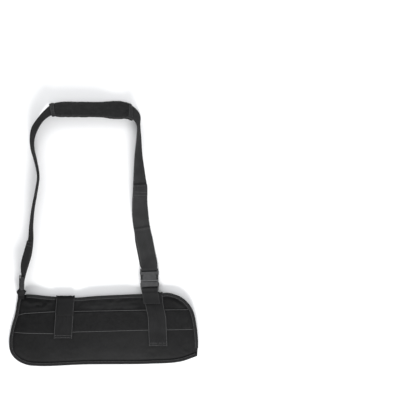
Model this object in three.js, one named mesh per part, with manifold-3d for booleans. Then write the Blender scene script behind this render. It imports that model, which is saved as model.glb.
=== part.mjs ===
// Shoulder brace: an arm sling that lies flat on its back.
// A padded forearm pouch, two closure tabs, a side-release buckle, and one long
// webbing strap that runs through a shoulder pad to an adjuster at the other corner.
// Millimetres. +X runs along the pouch, +Y up to the shoulder pad, +Z off the table.
// The origin is on the table under the middle of the pouch.

import * as THREE from 'three';
import { mergeVertices } from 'three/addons/utils/BufferGeometryUtils.js';
import Module from 'manifold-3d';

const wasm = await Module();
wasm.setup();

// Driving dimensions

const CLEARANCE = 0.35; // between pieces that touch

const POUCH_LENGTH = 457;
const POUCH_DEPTH = 176;
const PANEL_THICKNESS = 3;
const PANEL_MARGIN_THICKNESS = 1.2; // pressed flat under the binding
const CAVITY_HEIGHT = 12; // free height for the forearm
const MOUTH_HEIGHT = 10; // free height at the rims
const TAB_MOUTH_HEIGHT = 6; // where a tab pulls the rims together
const SEAM_RISE = 30; // width over which the front panel climbs from the seam
const RIM_DROOP = 30; // width over which it comes down to its rim

const BINDING_WIDTH = 7.5;
const BINDING_THICKNESS = 0.8;
const BINDING_SLACK = 0.3; // more room above and below a rim, where it climbs from the seam

const BAND_THICKNESS = 1.2;
const BAND_MARGIN = 5; // from the binding to the band's ends

const TAB_WIDTH = 45;
const TAB_THICKNESS = 1.8;
const TAB_EDGE_WIDTH = 3.2; // corded edge of a tab
const TAB_EDGE_THICKNESS = 2.8;
const TAB_ROOT = 46; // length sewn inside the pouch
const TAB_CLIMB = 16; // over which it climbs from the back panel to the mouth
const TAB_FOLD = 3.2; // over which it turns over the rim
const TAB_ROW = 8; // between its sections down the front
const LEFT_TAB_DROP = 98; // from the rim down the front
const RIGHT_TAB_DROP = 125;

const WEBBING_WIDTH = 40;
const WEBBING_THICKNESS = 1.6;
const STRAP_REACH = 450; // from the pouch's rim to the middle of the pad
const BUCKLE_RISE = 60.5; // from the rim to where the strap starts at the buckle
const ADJUSTER_RISE = 40.5; // from the rim to where it ends at the adjuster
const BUCKLE_TAIL = 211; // doubled length above the buckle
const ADJUSTER_TAIL = 92; // doubled length above the adjuster
const LAYERS_MEET = 1.1 * WEBBING_WIDTH; // length over which the two layers above the buckle close
const PATCH_LENGTH = 42; // webbing patch on the left tab
const PATCH_ROWS = 4;
const SEWN_LENGTH = 22.5; // buckle's webbing on the right tab, below the rim
const SEWN_SHIFT = 3; // to the left of that tab's middle
const SEWN_ROWS = 5;

const PAD_LENGTH = 200;
const PAD_WIDTH = 50;
const PAD_THICKNESS = 14;
const PAD_HEM = 10;
const PAD_SLOT_PLAY = 1.2; // from the strap to the pad's inner walls

const BAR_RADIUS = 2.2;
const BUCKLE_WIDTH = 45;
const BUCKLE_THICKNESS = 10;
const BUCKLE_SPAN = 46.5; // between its two webbing bars
const FEMALE_LENGTH = 28.5; // from its bar to its mouth
const BUCKLE_WALL = 1.9;
const BUCKLE_CORNER = 3;
const BUCKLE_ROOM = 1; // free room round the webbing at a bar
const FEMALE_END = 1.4; // past its bar
const MALE_END = 2.6;
const BUCKLE_TILT = 12; // degrees, its pouch end is up on the rim
const BUCKLE_LIFT = 2.4; // of the webbing under the buckle's bar

const LOCK_BAR_SPACING = 12;
const LOCK_RAIL = 2.6;
const LOCK_DEPTH = 9;
const LOCK_LIP = 5;
const LOCK_END = 1.6; // of a rail past its outer bars

const CORNER_WIDTH = 16; // of the corner loop where it is folded and sewn down
const CORNER_LENGTH = 10;
const CORNER_INSET = 5.5; // from the outline's corner to the loop's middle

// Sizes that follow from them

const PITCH = WEBBING_THICKNESS + CLEARANCE; // between two layers of webbing
const LOOP_RADIUS = BAR_RADIUS + CLEARANCE + WEBBING_THICKNESS / 2;
const MARGIN = BINDING_WIDTH + 2.5; // flat edge of a panel
const BACK_MARGIN_LEVEL = BINDING_THICKNESS + CLEARANCE;
const SEAM_LEVEL = BACK_MARGIN_LEVEL + PANEL_MARGIN_THICKNESS + CLEARANCE;
const LOCK_SLOT = WEBBING_WIDTH + 2 * CLEARANCE;
const LOCK_WIDTH = LOCK_SLOT + 2 * LOCK_RAIL;
const HEM_MIDDLE = 1 - PAD_HEM / PAD_LENGTH; // share of the way from the pad's middle to its end
const SLEEVE_SIDES = 16;
const OUTLINE_STEP = 13;
const DEGREE = Math.PI / 180;

// The pouch's outline. Columns are shares of the pouch's length and depth, from its middle.

const SEAM_POINTS = [
  { along: -0.45, up: 0.475 },
  { along: -0.459, up: 0.365 },
  { along: -0.469, up: 0.206 },
  { along: -0.488, up: 0.033 },
  { along: -0.5, up: -0.16 },
  { along: -0.493, up: -0.312 },
  { along: -0.461, up: -0.416 },
  { along: -0.408, up: -0.482 },
  { along: -0.328, up: -0.5 },
  { along: -0.1, up: -0.478 },
  { along: 0.246, up: -0.468 },
  { along: 0.406, up: -0.439 },
  { along: 0.497, up: -0.36 },
];
const MOUTH_POINTS = [
  { along: 0.497, up: -0.36 },
  { along: 0.5, up: -0.202 },
  { along: 0.493, up: 0.019 },
  { along: 0.475, up: 0.24 },
  { along: 0.448, up: 0.358 },
  { along: 0.406, up: 0.447 },
  { along: 0.342, up: 0.5 },
  { along: 0.294, up: 0.489 },
  { along: 0.14, up: 0.478 },
  { along: -0.046, up: 0.454 },
  { along: -0.147, up: 0.434 },
  { along: -0.286, up: 0.452 },
  { along: -0.392, up: 0.478 },
  { along: -0.45, up: 0.475 },
];

// The loop band's two edges, as shares of the pouch's depth at shares of its length

const BAND_ROWS = [
  { along: -0.5, upper: 0.2, lower: -0.04 },
  { along: -0.42, upper: 0.23, lower: -0.052 },
  { along: -0.27, upper: 0.252, lower: -0.06 },
  { along: -0.147, upper: 0.257, lower: -0.036 },
  { along: 0.215, upper: 0.275, lower: -0.011 },
  { along: 0.5, upper: 0.282, lower: 0 },
];

// The strap's route from the buckle to the adjuster. across: share of the way from the
// adjuster (0) to the buckle (1). reach: share of the way from the strap's ends up to its full
// reach. roll: degrees that the webbing is turned up on its outer edge. pad: 1 inside the
// shoulder pad.

const STRAP_ROUTE = [
  { across: 1.0, reach: 0, roll: 0, pad: 0 },
  { across: 0.999, reach: 0.024, roll: 0, pad: 0 },
  { across: 0.982, reach: 0.093, roll: 0, pad: 0 },
  { across: 0.958, reach: 0.192, roll: 1, pad: 0 },
  { across: 0.933, reach: 0.309, roll: 4, pad: 0 },
  { across: 0.924, reach: 0.419, roll: 26, pad: 0 },
  { across: 0.927, reach: 0.511, roll: 33, pad: 0 },
  { across: 0.922, reach: 0.6, roll: 47, pad: 0 },
  { across: 0.916, reach: 0.712, roll: 63, pad: 0 },
  { across: 0.919, reach: 0.847, roll: 76, pad: 0 },
  { across: 0.914, reach: 0.909, roll: 74, pad: 0 },
  { across: 0.898, reach: 0.951, roll: 54, pad: 0.5 },
  { across: 0.862, reach: 0.979, roll: 43, pad: 1 },
  { across: 0.816, reach: 0.994, roll: 31, pad: 1 },
  { across: 0.738, reach: 0.997, roll: 28, pad: 1 },
  { across: 0.611, reach: 0.999, roll: 39, pad: 1 },
  { across: 0.454, reach: 1, roll: 41, pad: 1 },
  { across: 0.296, reach: 1, roll: 42, pad: 1 },
  { across: 0.241, reach: 0.997, roll: 49, pad: 1 },
  { across: 0.194, reach: 0.976, roll: 60, pad: 0.7 },
  { across: 0.143, reach: 0.938, roll: 66, pad: 0.1 },
  { across: 0.0985, reach: 0.884, roll: 67, pad: 0 },
  { across: 0.0795, reach: 0.824, roll: 74, pad: 0 },
  { across: 0.0835, reach: 0.764, roll: 77, pad: 0 },
  { across: 0.107, reach: 0.693, roll: 81, pad: 0 },
  { across: 0.1275, reach: 0.604, roll: 82.5, pad: 0 },
  { across: 0.1135, reach: 0.52, roll: 82, pad: 0 },
  { across: 0.0865, reach: 0.408, roll: 80, pad: 0 },
  { across: 0.0725, reach: 0.307, roll: 77, pad: 0 },
  { across: 0.068, reach: 0.225, roll: 72, pad: 0 },
  { across: 0.048, reach: 0.147, roll: 64, pad: 0 },
  { across: 0.025, reach: 0.083, roll: 65, pad: 0 },
  { across: 0.017, reach: 0.038, roll: 71, pad: 0 },
  { across: 0.016, reach: 0, roll: 82, pad: 0 },
];
const PAD_MIDDLE_ROW = 15.42; // row of the route, with its fraction, at the middle of the pad
const LIFT_ROWS = 1.8; // rows over which the strap comes down from the buckle
const LOCK_ROWS = 2; // rows over which it lifts into the adjuster

// The pad's swelling along its length: width and thickness as shares of the full ones

const PAD_ROWS = [
  { along: 0, width: 0.94, thickness: 0.7 },
  { along: 0.06, width: 0.97, thickness: 0.86 },
  { along: 0.16, width: 1, thickness: 0.97 },
  { along: 0.32, width: 0.98, thickness: 1 },
  { along: 0.5, width: 0.97, thickness: 0.98 },
  { along: 0.68, width: 0.98, thickness: 1 },
  { along: 0.84, width: 1, thickness: 0.97 },
  { along: 0.94, width: 0.97, thickness: 0.86 },
  { along: 1, width: 0.94, thickness: 0.7 },
];

// Places that the strap and tabs share, as shares of the pouch's length

const ADJUSTER_ALONG = -0.432;
const BUCKLE_ALONG = 0.2425;
const LEFT_TAB_LEAN = [
  { down: -1, along: -0.202 },
  { down: 0, along: -0.202 },
  { down: 1, along: -0.216 },
];
const RIGHT_TAB_LEAN = [
  { down: -1, along: 0.264 },
  { down: 0, along: 0.264 },
  { down: 0.2, along: 0.269 },
  { down: 0.45, along: 0.284 },
  { down: 1, along: 0.29 },
];

// Small helpers

const lerp = THREE.MathUtils.lerp;
const clamp = THREE.MathUtils.clamp;
const UP = new THREE.Vector3(0, 0, 1);

function ease(share) {
  const t = clamp(share, 0, 1);
  return t * t * (3 - 2 * t);
}

function bulge(share) {
  return Math.sin((Math.PI / 2) * clamp(share, 0, 1));
}

// Reads a column of a table at a place between its rows
function readTable(rows, key, at, column) {
  if (at <= rows[0][key]) return rows[0][column];
  for (let i = 1; i < rows.length; i++) {
    if (at <= rows[i][key]) {
      const share = (at - rows[i - 1][key]) / (rows[i][key] - rows[i - 1][key]);
      return lerp(rows[i - 1][column], rows[i][column], share);
    }
  }
  return rows[rows.length - 1][column];
}

// A closed body from points and triangles, turned so that its faces point out
function closedBody(points, triangles) {
  let volume = 0;
  const cross = new THREE.Vector3();
  for (const [a, b, c] of triangles) {
    volume += points[a].dot(cross.crossVectors(points[b], points[c]));
  }
  const index = volume > 0 ? triangles.flat() : triangles.map(([a, b, c]) => [a, c, b]).flat();
  const geometry = new THREE.BufferGeometry();
  geometry.setAttribute('position', new THREE.Float32BufferAttribute(points.flatMap((p) => p.toArray()), 3));
  geometry.setIndex(index);
  geometry.computeVertexNormals();
  return geometry;
}

function quad(triangles, a, b, c, d) {
  triangles.push([a, b, c], [a, c, d]);
}

// Splits a four-sided face along its shorter diagonal
function shortQuad(triangles, points, a, b, c, d) {
  if (points[a].distanceTo(points[c]) <= points[b].distanceTo(points[d])) quad(triangles, a, b, c, d);
  else quad(triangles, b, c, d, a);
}

// Carries a section along frames. section(frame) gives its loop of [across, over] places,
// the same number of them at each frame.
function carrySection(frames, section) {
  const points = [];
  const triangles = [];
  const loops = frames.map(section);
  const count = loops[0].length;
  frames.forEach(({ centre, across, over }, i) => {
    for (const [u, v] of loops[i]) {
      points.push(centre.clone().addScaledVector(across, u).addScaledVector(over, v));
    }
  });
  for (let i = 0; i < frames.length - 1; i++) {
    for (let j = 0; j < count; j++) {
      const next = (j + 1) % count;
      const corners = [i * count + j, i * count + next, (i + 1) * count + next, (i + 1) * count + j];
      // opposite faces of a strip are split the same way, so that it keeps its thickness in a twist
      if (loops[i][j][0] > loops[i][next][0]) corners.push(corners.shift());
      quad(triangles, ...corners);
    }
  }
  const last = (frames.length - 1) * count;
  const cap = (loop) => THREE.ShapeUtils.triangulateShape(loop.map(([u, v]) => new THREE.Vector2(u, v)), []);
  for (const [a, b, c] of cap(loops[0])) triangles.push([a, c, b]);
  for (const [a, b, c] of cap(loops[frames.length - 1])) triangles.push([last + a, last + b, last + c]);
  return closedBody(points, triangles);
}

function flatSection(width, thickness) {
  const u = width / 2;
  const v = thickness / 2;
  return [[-u, -v], [u, -v], [u, v], [-u, v]];
}

// Boolean work on solids

function solidOf(geometry) {
  const bare = geometry.clone();
  bare.deleteAttribute('normal');
  bare.deleteAttribute('uv');
  const merged = mergeVertices(bare, 1e-4);
  return new wasm.Manifold(new wasm.Mesh({
    numProp: 3,
    vertProperties: Float32Array.from(merged.attributes.position.array),
    triVerts: Uint32Array.from(merged.index.array),
  }));
}

function geometryOf(solid) {
  const mesh = solid.getMesh();
  const geometry = new THREE.BufferGeometry();
  geometry.setAttribute('position', new THREE.Float32BufferAttribute(mesh.vertProperties, 3));
  geometry.setIndex(new THREE.Uint32BufferAttribute(mesh.triVerts, 1));
  geometry.computeVertexNormals();
  return geometry;
}

// A block between two corners
function block(low, high) {
  const size = high.map((value, axis) => value - low[axis]);
  const middle = high.map((value, axis) => (value + low[axis]) / 2);
  return solidOf(new THREE.BoxGeometry(...size).translate(...middle));
}

// A round bar along X
function bar(length, y) {
  const sides = 12;
  return solidOf(new THREE.CylinderGeometry(BAR_RADIUS, BAR_RADIUS, length, sides)
    .rotateZ(Math.PI / 2).translate(0, y, 0));
}

// A plate with round corners, its thickness centred on z = 0
function roundPlate(low, high, radius, thickness) {
  const shape = new THREE.Shape();
  shape.moveTo(low[0] + radius, low[1]);
  shape.lineTo(high[0] - radius, low[1]);
  shape.absarc(high[0] - radius, low[1] + radius, radius, -Math.PI / 2, 0);
  shape.absarc(high[0] - radius, high[1] - radius, radius, 0, Math.PI / 2);
  shape.absarc(low[0] + radius, high[1] - radius, radius, Math.PI / 2, Math.PI);
  shape.absarc(low[0] + radius, low[1] + radius, radius, Math.PI, 1.5 * Math.PI);
  const bevel = Math.min(1.2, thickness / 4);
  const geometry = new THREE.ExtrudeGeometry(shape, {
    depth: thickness - 2 * bevel,
    bevelThickness: bevel,
    bevelSize: bevel,
    bevelOffset: -bevel,
    bevelSegments: 1,
    curveSegments: 4,
  });
  return solidOf(geometry.translate(0, 0, bevel - thickness / 2));
}

// The pouch's outline and levels

// An edge's points: one at each end, one where its end margin stops, the rest evenly between
function edgeOf(rows) {
  const points = rows.map(({ along, up }) => new THREE.Vector3(along * POUCH_LENGTH, up * POUCH_DEPTH, 0));
  const curve = new THREE.CatmullRomCurve3(points, false, 'centripetal');
  const end = (MARGIN + 1) / curve.getLength();
  const steps = Math.round((1 - 2 * end) * curve.getLength() / OUTLINE_STEP);
  const edge = [curve.getPointAt(0)];
  for (let i = 0; i <= steps; i++) edge.push(curve.getPointAt(lerp(end, 1 - end, i / steps)));
  return [...edge, curve.getPointAt(1)];
}

const seamEdge = edgeOf(SEAM_POINTS);
const mouthEdge = edgeOf(MOUTH_POINTS);
const outline = [...seamEdge.slice(0, -1), ...mouthEdge.slice(0, -1)];

function distanceTo(edge, point) {
  let nearest = Infinity;
  const line = new THREE.Line3();
  const foot = new THREE.Vector3();
  for (let i = 1; i < edge.length; i++) {
    line.set(edge[i - 1], edge[i]).closestPointToPoint(point, true, foot);
    nearest = Math.min(nearest, foot.distanceTo(point));
  }
  return nearest;
}

// How high the mouth's edge is in the outline above a place along the pouch
function rimAt(x) {
  const top = mouthEdge.filter((p) => p.y > 0).sort((a, b) => a.x - b.x);
  return readTable(top, 'x', x, 'y');
}

// The mouth is open between the tabs and at the hand's end, and drawn in under each tab
function mouthHeight(point) {
  const apart = [LEFT_TAB_LEAN, RIGHT_TAB_LEAN].map((lean) => Math.abs(point.x - lean[0].along * POUCH_LENGTH));
  const fromTab = (Math.min(...apart) - 0.6 * TAB_WIDTH) / TAB_WIDTH;
  return point.y < 0 ? MOUTH_HEIGHT : lerp(TAB_MOUTH_HEIGHT, MOUTH_HEIGHT, ease(fromTab));
}

function frontLevel(point) {
  const fromSeam = (distanceTo(seamEdge, point) - MARGIN) / SEAM_RISE;
  const fromMouth = (distanceTo(mouthEdge, point) - MARGIN) / RIM_DROOP;
  const rim = PANEL_THICKNESS + mouthHeight(point);
  const full = lerp(rim, PANEL_THICKNESS + CAVITY_HEIGHT, ease(fromMouth));
  return lerp(SEAM_LEVEL, full, bulge(fromSeam));
}

function panelBody(point) {
  const edge = Math.min(distanceTo(seamEdge, point), distanceTo(mouthEdge, point));
  return ease((edge - MARGIN) / (2 * PANEL_THICKNESS));
}

function panelThickness(point) {
  return lerp(PANEL_MARGIN_THICKNESS, PANEL_THICKNESS, panelBody(point));
}

function backLevel(point) {
  return lerp(BACK_MARGIN_LEVEL, 0, panelBody(point));
}

// The direction out of the pouch, square to an edge that runs from one point to another
function outwardOf(from, to) {
  const run = to.clone().sub(from).normalize();
  return new THREE.Vector3(run.y, -run.x, 0);
}

function outwardAt(edge, i) {
  return outwardOf(edge[Math.max(i - 1, 0)], edge[Math.min(i + 1, edge.length - 1)]);
}

// The outline moved in towards the pouch's long middle line
function insetOutline(distance) {
  const reach = 0.31 * POUCH_LENGTH;
  return outline.map((point, i) => {
    const target = new THREE.Vector3(clamp(point.x, -reach, reach), 0, 0);
    const run = target.sub(point);
    const room = run.length();
    run.normalize();
    const before = outline[(i + outline.length - 1) % outline.length];
    const after = outline[(i + 1) % outline.length];
    const facing = Math.max(0.4, Math.min(-run.dot(outwardOf(before, point)), -run.dot(outwardOf(point, after))));
    return point.clone().addScaledVector(run, Math.min(distance / facing, 0.9 * room));
  });
}

// A padded panel: rings from the outline to its flat middle, above and below
function panel(distances, lower, thickness) {
  const rings = distances.map(insetOutline);
  const count = outline.length;
  const points = [];
  const triangles = [];
  const middle = THREE.ShapeUtils.triangulateShape(
    rings[rings.length - 1].map((p) => new THREE.Vector2(p.x, p.y)), []);
  for (const ring of rings) for (const p of ring) points.push(new THREE.Vector3(p.x, p.y, lower(p)));
  const topStart = points.length;
  for (const ring of rings) {
    for (const p of ring) points.push(new THREE.Vector3(p.x, p.y, lower(p) + thickness(p)));
  }
  const innermost = (rings.length - 1) * count;
  for (let j = 0; j < count; j++) {
    const next = (j + 1) % count;
    for (let i = 0; i < rings.length - 1; i++) {
      const outer = i * count;
      const inner = outer + count;
      shortQuad(triangles, points, outer + j, inner + j, inner + next, outer + next);
      shortQuad(triangles, points, topStart + outer + j, topStart + outer + next,
        topStart + inner + next, topStart + inner + j);
    }
    quad(triangles, j, next, topStart + next, topStart + j);
  }
  for (const [a, b, c] of middle) {
    triangles.push([innermost + a, innermost + c, innermost + b]);
    triangles.push([topStart + innermost + a, topStart + innermost + b, topStart + innermost + c]);
  }
  return closedBody(points, triangles);
}

function backPanel() {
  return panel([0, MARGIN, MARGIN + 2 * PANEL_THICKNESS], backLevel, panelThickness);
}

function frontPanel() {
  const steps = [0.3, 0.65, 1];
  const distances = [0, MARGIN, ...steps.map((share) => MARGIN + share * Math.max(SEAM_RISE, RIM_DROOP))];
  return panel(distances, frontLevel, panelThickness);
}

// The lowest and highest place of the given meshes at a point of the plan
function spanAt(meshes, point) {
  const ray = new THREE.Raycaster(new THREE.Vector3(point.x, point.y, 100), new THREE.Vector3(0, 0, -1));
  const levels = ray.intersectObjects(meshes, false).map((hit) => hit.point.z);
  return { low: Math.min(...levels), high: Math.max(...levels) };
}

// Binding tape folded round the edge of what it wraps
function foldedTape(edge, wrapped, slack) {
  const last = edge.length - 1;
  const nudge = 0.6; // in from the edge, where what is wrapped is measured
  const frames = edge.map((point, i) => {
    const across = outwardAt(edge, i);
    const inward = edge[i === 0 ? 1 : last - 1].clone().sub(point).setLength(2 * nudge);
    const foot = i === 0 || i === last ? point.clone().add(inward) : point;
    return {
      centre: new THREE.Vector3(point.x, point.y, 0),
      across,
      over: UP,
      rim: spanAt(wrapped, foot.clone().addScaledVector(across, -nudge)),
      inner: spanAt(wrapped, foot.clone().addScaledVector(across, -BINDING_WIDTH)),
    };
  });
  const gap = CLEARANCE + slack;
  const outside = CLEARANCE + BINDING_THICKNESS;
  const face = gap + BINDING_THICKNESS;
  return carrySection(frames, ({ rim, inner }) => [
    [-BINDING_WIDTH, inner.low - face],
    [outside, rim.low - face],
    [outside, rim.high + face],
    [-BINDING_WIDTH, inner.high + face],
    [-BINDING_WIDTH, inner.high + gap],
    [CLEARANCE, rim.high + gap],
    [CLEARANCE, rim.low - gap],
    [-BINDING_WIDTH, inner.low - gap],
  ]);
}

// The mouth's edge without its two ends, which the seam draws together
function openRim() {
  const start = MARGIN + 0.25 * SEAM_RISE;
  return mouthEdge.filter((point) => distanceTo(seamEdge, point) > start);
}

// Heights of what lies below, for pieces that rest on others

function heightOver(meshes, lowX, highX, lowY, highY) {
  const ray = new THREE.Raycaster();
  const down = new THREE.Vector3(0, 0, -1);
  let highest = 0;
  const samples = 12;
  for (let i = 0; i <= samples; i++) {
    for (const j of [0, 0.5, 1]) {
      ray.set(new THREE.Vector3(lerp(lowX, highX, i / samples), lerp(lowY, highY, j), 100), down);
      for (const hit of ray.intersectObjects(meshes, false)) highest = Math.max(highest, hit.point.z);
    }
  }
  return highest;
}

// The dark band of loop material along the front
function loopBand(below) {
  const ends = BINDING_WIDTH + 2;
  const shares = [0, 0.012, 0.028, 0.05, 0.08, 0.12, 0.16, 0.2, 0.25, 0.3, 0.4, 0.5, 0.6, 0.7, 0.8,
    0.88, 0.925, 0.955, 0.98, 1];
  const heights = [0, 0.33, 0.66, 1];
  const edgeX = (side, y) => {
    const edge = (side < 0 ? seamEdge : mouthEdge).filter((p) => p.x * side > 0.4 * POUCH_LENGTH);
    return readTable(edge.slice().sort((a, b) => a.y - b.y), 'y', y, 'x');
  };
  const rows = shares.map((share) => heights.map((height) => {
    const rowAt = (x) => lerp(readTable(BAND_ROWS, 'along', x / POUCH_LENGTH, 'lower'),
      readTable(BAND_ROWS, 'along', x / POUCH_LENGTH, 'upper'), height) * POUCH_DEPTH;
    const leftX = edgeX(-1, rowAt(-POUCH_LENGTH / 2)) + ends;
    const rightX = edgeX(1, rowAt(POUCH_LENGTH / 2)) - ends - BAND_MARGIN;
    const x = lerp(leftX, rightX, share);
    return new THREE.Vector3(x, rowAt(x), 0);
  }));
  const reachX = 4;
  const reachY = 9;
  const count = heights.length;
  const points = [];
  for (const row of rows) {
    for (const p of row) {
      const z = heightOver(below, p.x - reachX, p.x + reachX, p.y - reachY, p.y + reachY) + CLEARANCE;
      points.push(new THREE.Vector3(p.x, p.y, z));
    }
  }
  const top = points.length;
  for (const p of points.slice()) points.push(p.clone().setZ(p.z + BAND_THICKNESS));
  const triangles = [];
  for (let i = 0; i < rows.length - 1; i++) {
    for (let j = 0; j < count - 1; j++) {
      const a = i * count + j;
      quad(triangles, a, a + 1, a + count + 1, a + count);
      quad(triangles, top + a, top + a + count, top + a + count + 1, top + a + 1);
    }
    const near = i * count;
    const far = near + count - 1;
    quad(triangles, near, near + count, top + near + count, top + near);
    quad(triangles, far, top + far, top + far + count, far + count);
  }
  const end = (rows.length - 1) * count;
  for (let j = 0; j < count - 1; j++) {
    quad(triangles, j, top + j, top + j + 1, j + 1);
    quad(triangles, end + j, end + j + 1, top + end + j + 1, top + end + j);
  }
  return closedBody(points, triangles);
}

// Frames for a strip that keeps its width level, through a list of { x, y, z } places
function levelFrames(places) {
  return places.map((place, i) => {
    const before = places[Math.max(i - 1, 0)];
    const after = places[Math.min(i + 1, places.length - 1)];
    const over = new THREE.Vector3(0, -(after.z - before.z), after.y - before.y).normalize();
    return { centre: new THREE.Vector3(place.x, place.y, place.z), across: new THREE.Vector3(1, 0, 0), over };
  });
}

// The places of a tab: sewn inside on the back panel, out of the mouth, over the front rim,
// and down the front
function tabPlaces(lean, drop, below) {
  const rimX = lean[0].along * POUCH_LENGTH;
  const rimY = Math.max(...[-0.5, -0.25, 0, 0.25, 0.5].map((share) => rimAt(rimX + share * TAB_WIDTH)));
  const half = TAB_THICKNESS / 2;
  const cord = TAB_EDGE_THICKNESS - TAB_THICKNESS; // the corded edges face out, so down inside
  const root = PANEL_THICKNESS + CLEARANCE + cord + half;
  const out = rimY + 3 * CLEARANCE + BINDING_THICKNESS + half;
  const rimTop = heightOver(below, rimX - TAB_WIDTH / 2, rimX + TAB_WIDTH / 2, rimY - BINDING_WIDTH, rimY);
  const top = rimTop + CLEARANCE + half;
  const mouth = PANEL_THICKNESS + TAB_MOUTH_HEIGHT - CLEARANCE - BINDING_THICKNESS;
  const places = [
    { y: rimY - TAB_ROOT, z: root },
    { y: rimY - TAB_CLIMB, z: root },
    { y: rimY - TAB_CLIMB / 4, z: lerp(root, mouth, 0.25) },
    { y: out - 0.44 * TAB_FOLD, z: lerp(root, mouth, 0.5) },
    { y: out, z: lerp(root, mouth, 0.9) },
    { y: out, z: top - 0.7 * TAB_FOLD },
    { y: out - 0.3 * TAB_FOLD, z: top - 0.2 * TAB_FOLD },
    { y: out - TAB_FOLD, z: top + 0.06 * TAB_FOLD },
  ];
  const foldEnd = places.length - 1;
  const steps = Math.round(drop / TAB_ROW);
  for (let i = 1; i <= steps; i++) {
    places.push({ y: lerp(out - TAB_FOLD, rimY - drop, i / steps) });
  }
  return places.map((place, i) => {
    const x = readTable(lean, 'down', (rimY - place.y) / drop, 'along') * POUCH_LENGTH;
    if (i <= foldEnd) return { x, ...place, folds: i === foldEnd };
    const reach = drop / steps;
    const rest = heightOver(below, x - TAB_WIDTH / 2, x + TAB_WIDTH / 2, place.y - reach, place.y + reach);
    return { x, y: place.y, z: rest + CLEARANCE + half };
  });
}

// A tab's section: flat on the side that lies on the pouch, with a corded edge each side
function tabSection() {
  const u = TAB_WIDTH / 2;
  const v = TAB_THICKNESS / 2;
  const edge = u - TAB_EDGE_WIDTH;
  const cord = v - TAB_EDGE_THICKNESS;
  return [[-u, v], [-u, cord], [-edge, cord], [-edge, -v], [edge, -v], [edge, cord], [u, cord], [u, v]];
}

// The webbing strap's frames along its route

function strapTables(adjusterX, buckleX, rimY) {
  const last = STRAP_ROUTE.length - 1;
  const places = STRAP_ROUTE.map(({ across, reach }) => {
    const foot = lerp(ADJUSTER_RISE, BUCKLE_RISE, across);
    return new THREE.Vector3(lerp(adjusterX, buckleX, across), rimY + lerp(foot, STRAP_REACH, reach), 0);
  });
  const place = new THREE.CatmullRomCurve3(places, false, 'centripetal');
  const turns = STRAP_ROUTE.map(({ roll, pad }) => new THREE.Vector3(roll, pad, 0));
  const turn = new THREE.CatmullRomCurve3(turns, false, 'catmullrom', 0.5);
  const frameAt = (share) => {
    const centre = place.getPoint(share);
    const run = place.getTangent(share);
    const { x: degrees, y: pad } = turn.getPoint(share);
    const roll = clamp(degrees, 0, 90) * DEGREE;
    const outward = new THREE.Vector3(run.y, -run.x, 0);
    const across = outward.clone().multiplyScalar(Math.cos(roll)).addScaledVector(UP, -Math.sin(roll));
    const over = outward.clone().multiplyScalar(Math.sin(roll)).addScaledVector(UP, Math.cos(roll));
    const bare = (WEBBING_WIDTH / 2) * Math.sin(roll) + (WEBBING_THICKNESS / 2) * Math.cos(roll);
    const padded = Math.hypot((PAD_WIDTH / 2) * Math.sin(roll), (PAD_THICKNESS / 2) * Math.cos(roll));
    const onBuckle = 1 - ease(share * last / LIFT_ROWS);
    const inLock = ease((share - 1) * last / LOCK_ROWS + 1);
    const rail = (LOCK_WIDTH - WEBBING_WIDTH) / 2 * Math.sin(roll);
    centre.z = lerp(bare, padded, clamp(pad, 0, 1)) + BUCKLE_LIFT * onBuckle + rail * inLock;
    return { centre, across, over };
  };
  const fine = 12 * last;
  const table = [{ length: 0, share: 0 }];
  for (let i = 1; i <= fine; i++) {
    const step = frameAt(i / fine).centre.distanceTo(frameAt((i - 1) / fine).centre);
    table.push({ length: table[i - 1].length + step, share: i / fine });
  }
  const total = table[fine].length;
  return {
    total,
    padMiddle: readTable(table, 'share', PAD_MIDDLE_ROW / last, 'length'),
    at: (length) => frameAt(readTable(table, 'length', length, 'share')),
  };
}

function shifted(frame, distance) {
  return { ...frame, centre: frame.centre.clone().addScaledVector(frame.over, distance) };
}

function flipped(frame) {
  return { ...frame, over: frame.over.clone().negate() };
}

// Frames round a bar. run and over span the plane of the turn; angles are degrees from over
// towards run.
function roundBar(centre, across, run, over, from, to, steps) {
  const frames = [];
  for (let i = 0; i <= steps; i++) {
    const angle = lerp(from, to, i / steps) * DEGREE;
    const out = over.clone().multiplyScalar(Math.cos(angle)).addScaledVector(run, Math.sin(angle));
    frames.push({ centre: centre.clone().addScaledVector(out, LOOP_RADIUS), across, over: out });
  }
  return frames;
}

// The direction that a frame's strip runs in, from its other two directions
function runOf(frame) {
  return new THREE.Vector3().crossVectors(frame.over, frame.across).normalize();
}

// Lengths along the strap where it gets a section: closer together where it turns or rolls,
// and at both ends and each row of the pad
function strapStations(strap) {
  const longest = 26;
  const turnLimit = 9 * DEGREE;
  const fine = 2;
  const fixed = [
    ...PAD_ROWS.map(({ along }) => padStart(strap) + along * PAD_CORE),
    ...[-1, -HEM_MIDDLE, HEM_MIDDLE, 1].map((share) => strap.padMiddle + share * PAD_LENGTH / 2),
  ];
  const lengths = [0];
  let last = strap.at(0);
  for (let length = fine; length < strap.total - fine; length += fine) {
    const frame = strap.at(length);
    const turned = Math.max(frame.across.angleTo(last.across), frame.over.angleTo(last.over));
    const wanted = turned > turnLimit || length - lengths[lengths.length - 1] > longest;
    if (wanted && fixed.every((place) => Math.abs(place - length) > 1.5 * fine)) {
      lengths.push(length);
      last = frame;
    }
  }
  return [...lengths, ...fixed, strap.total].sort((a, b) => a - b);
}

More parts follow.
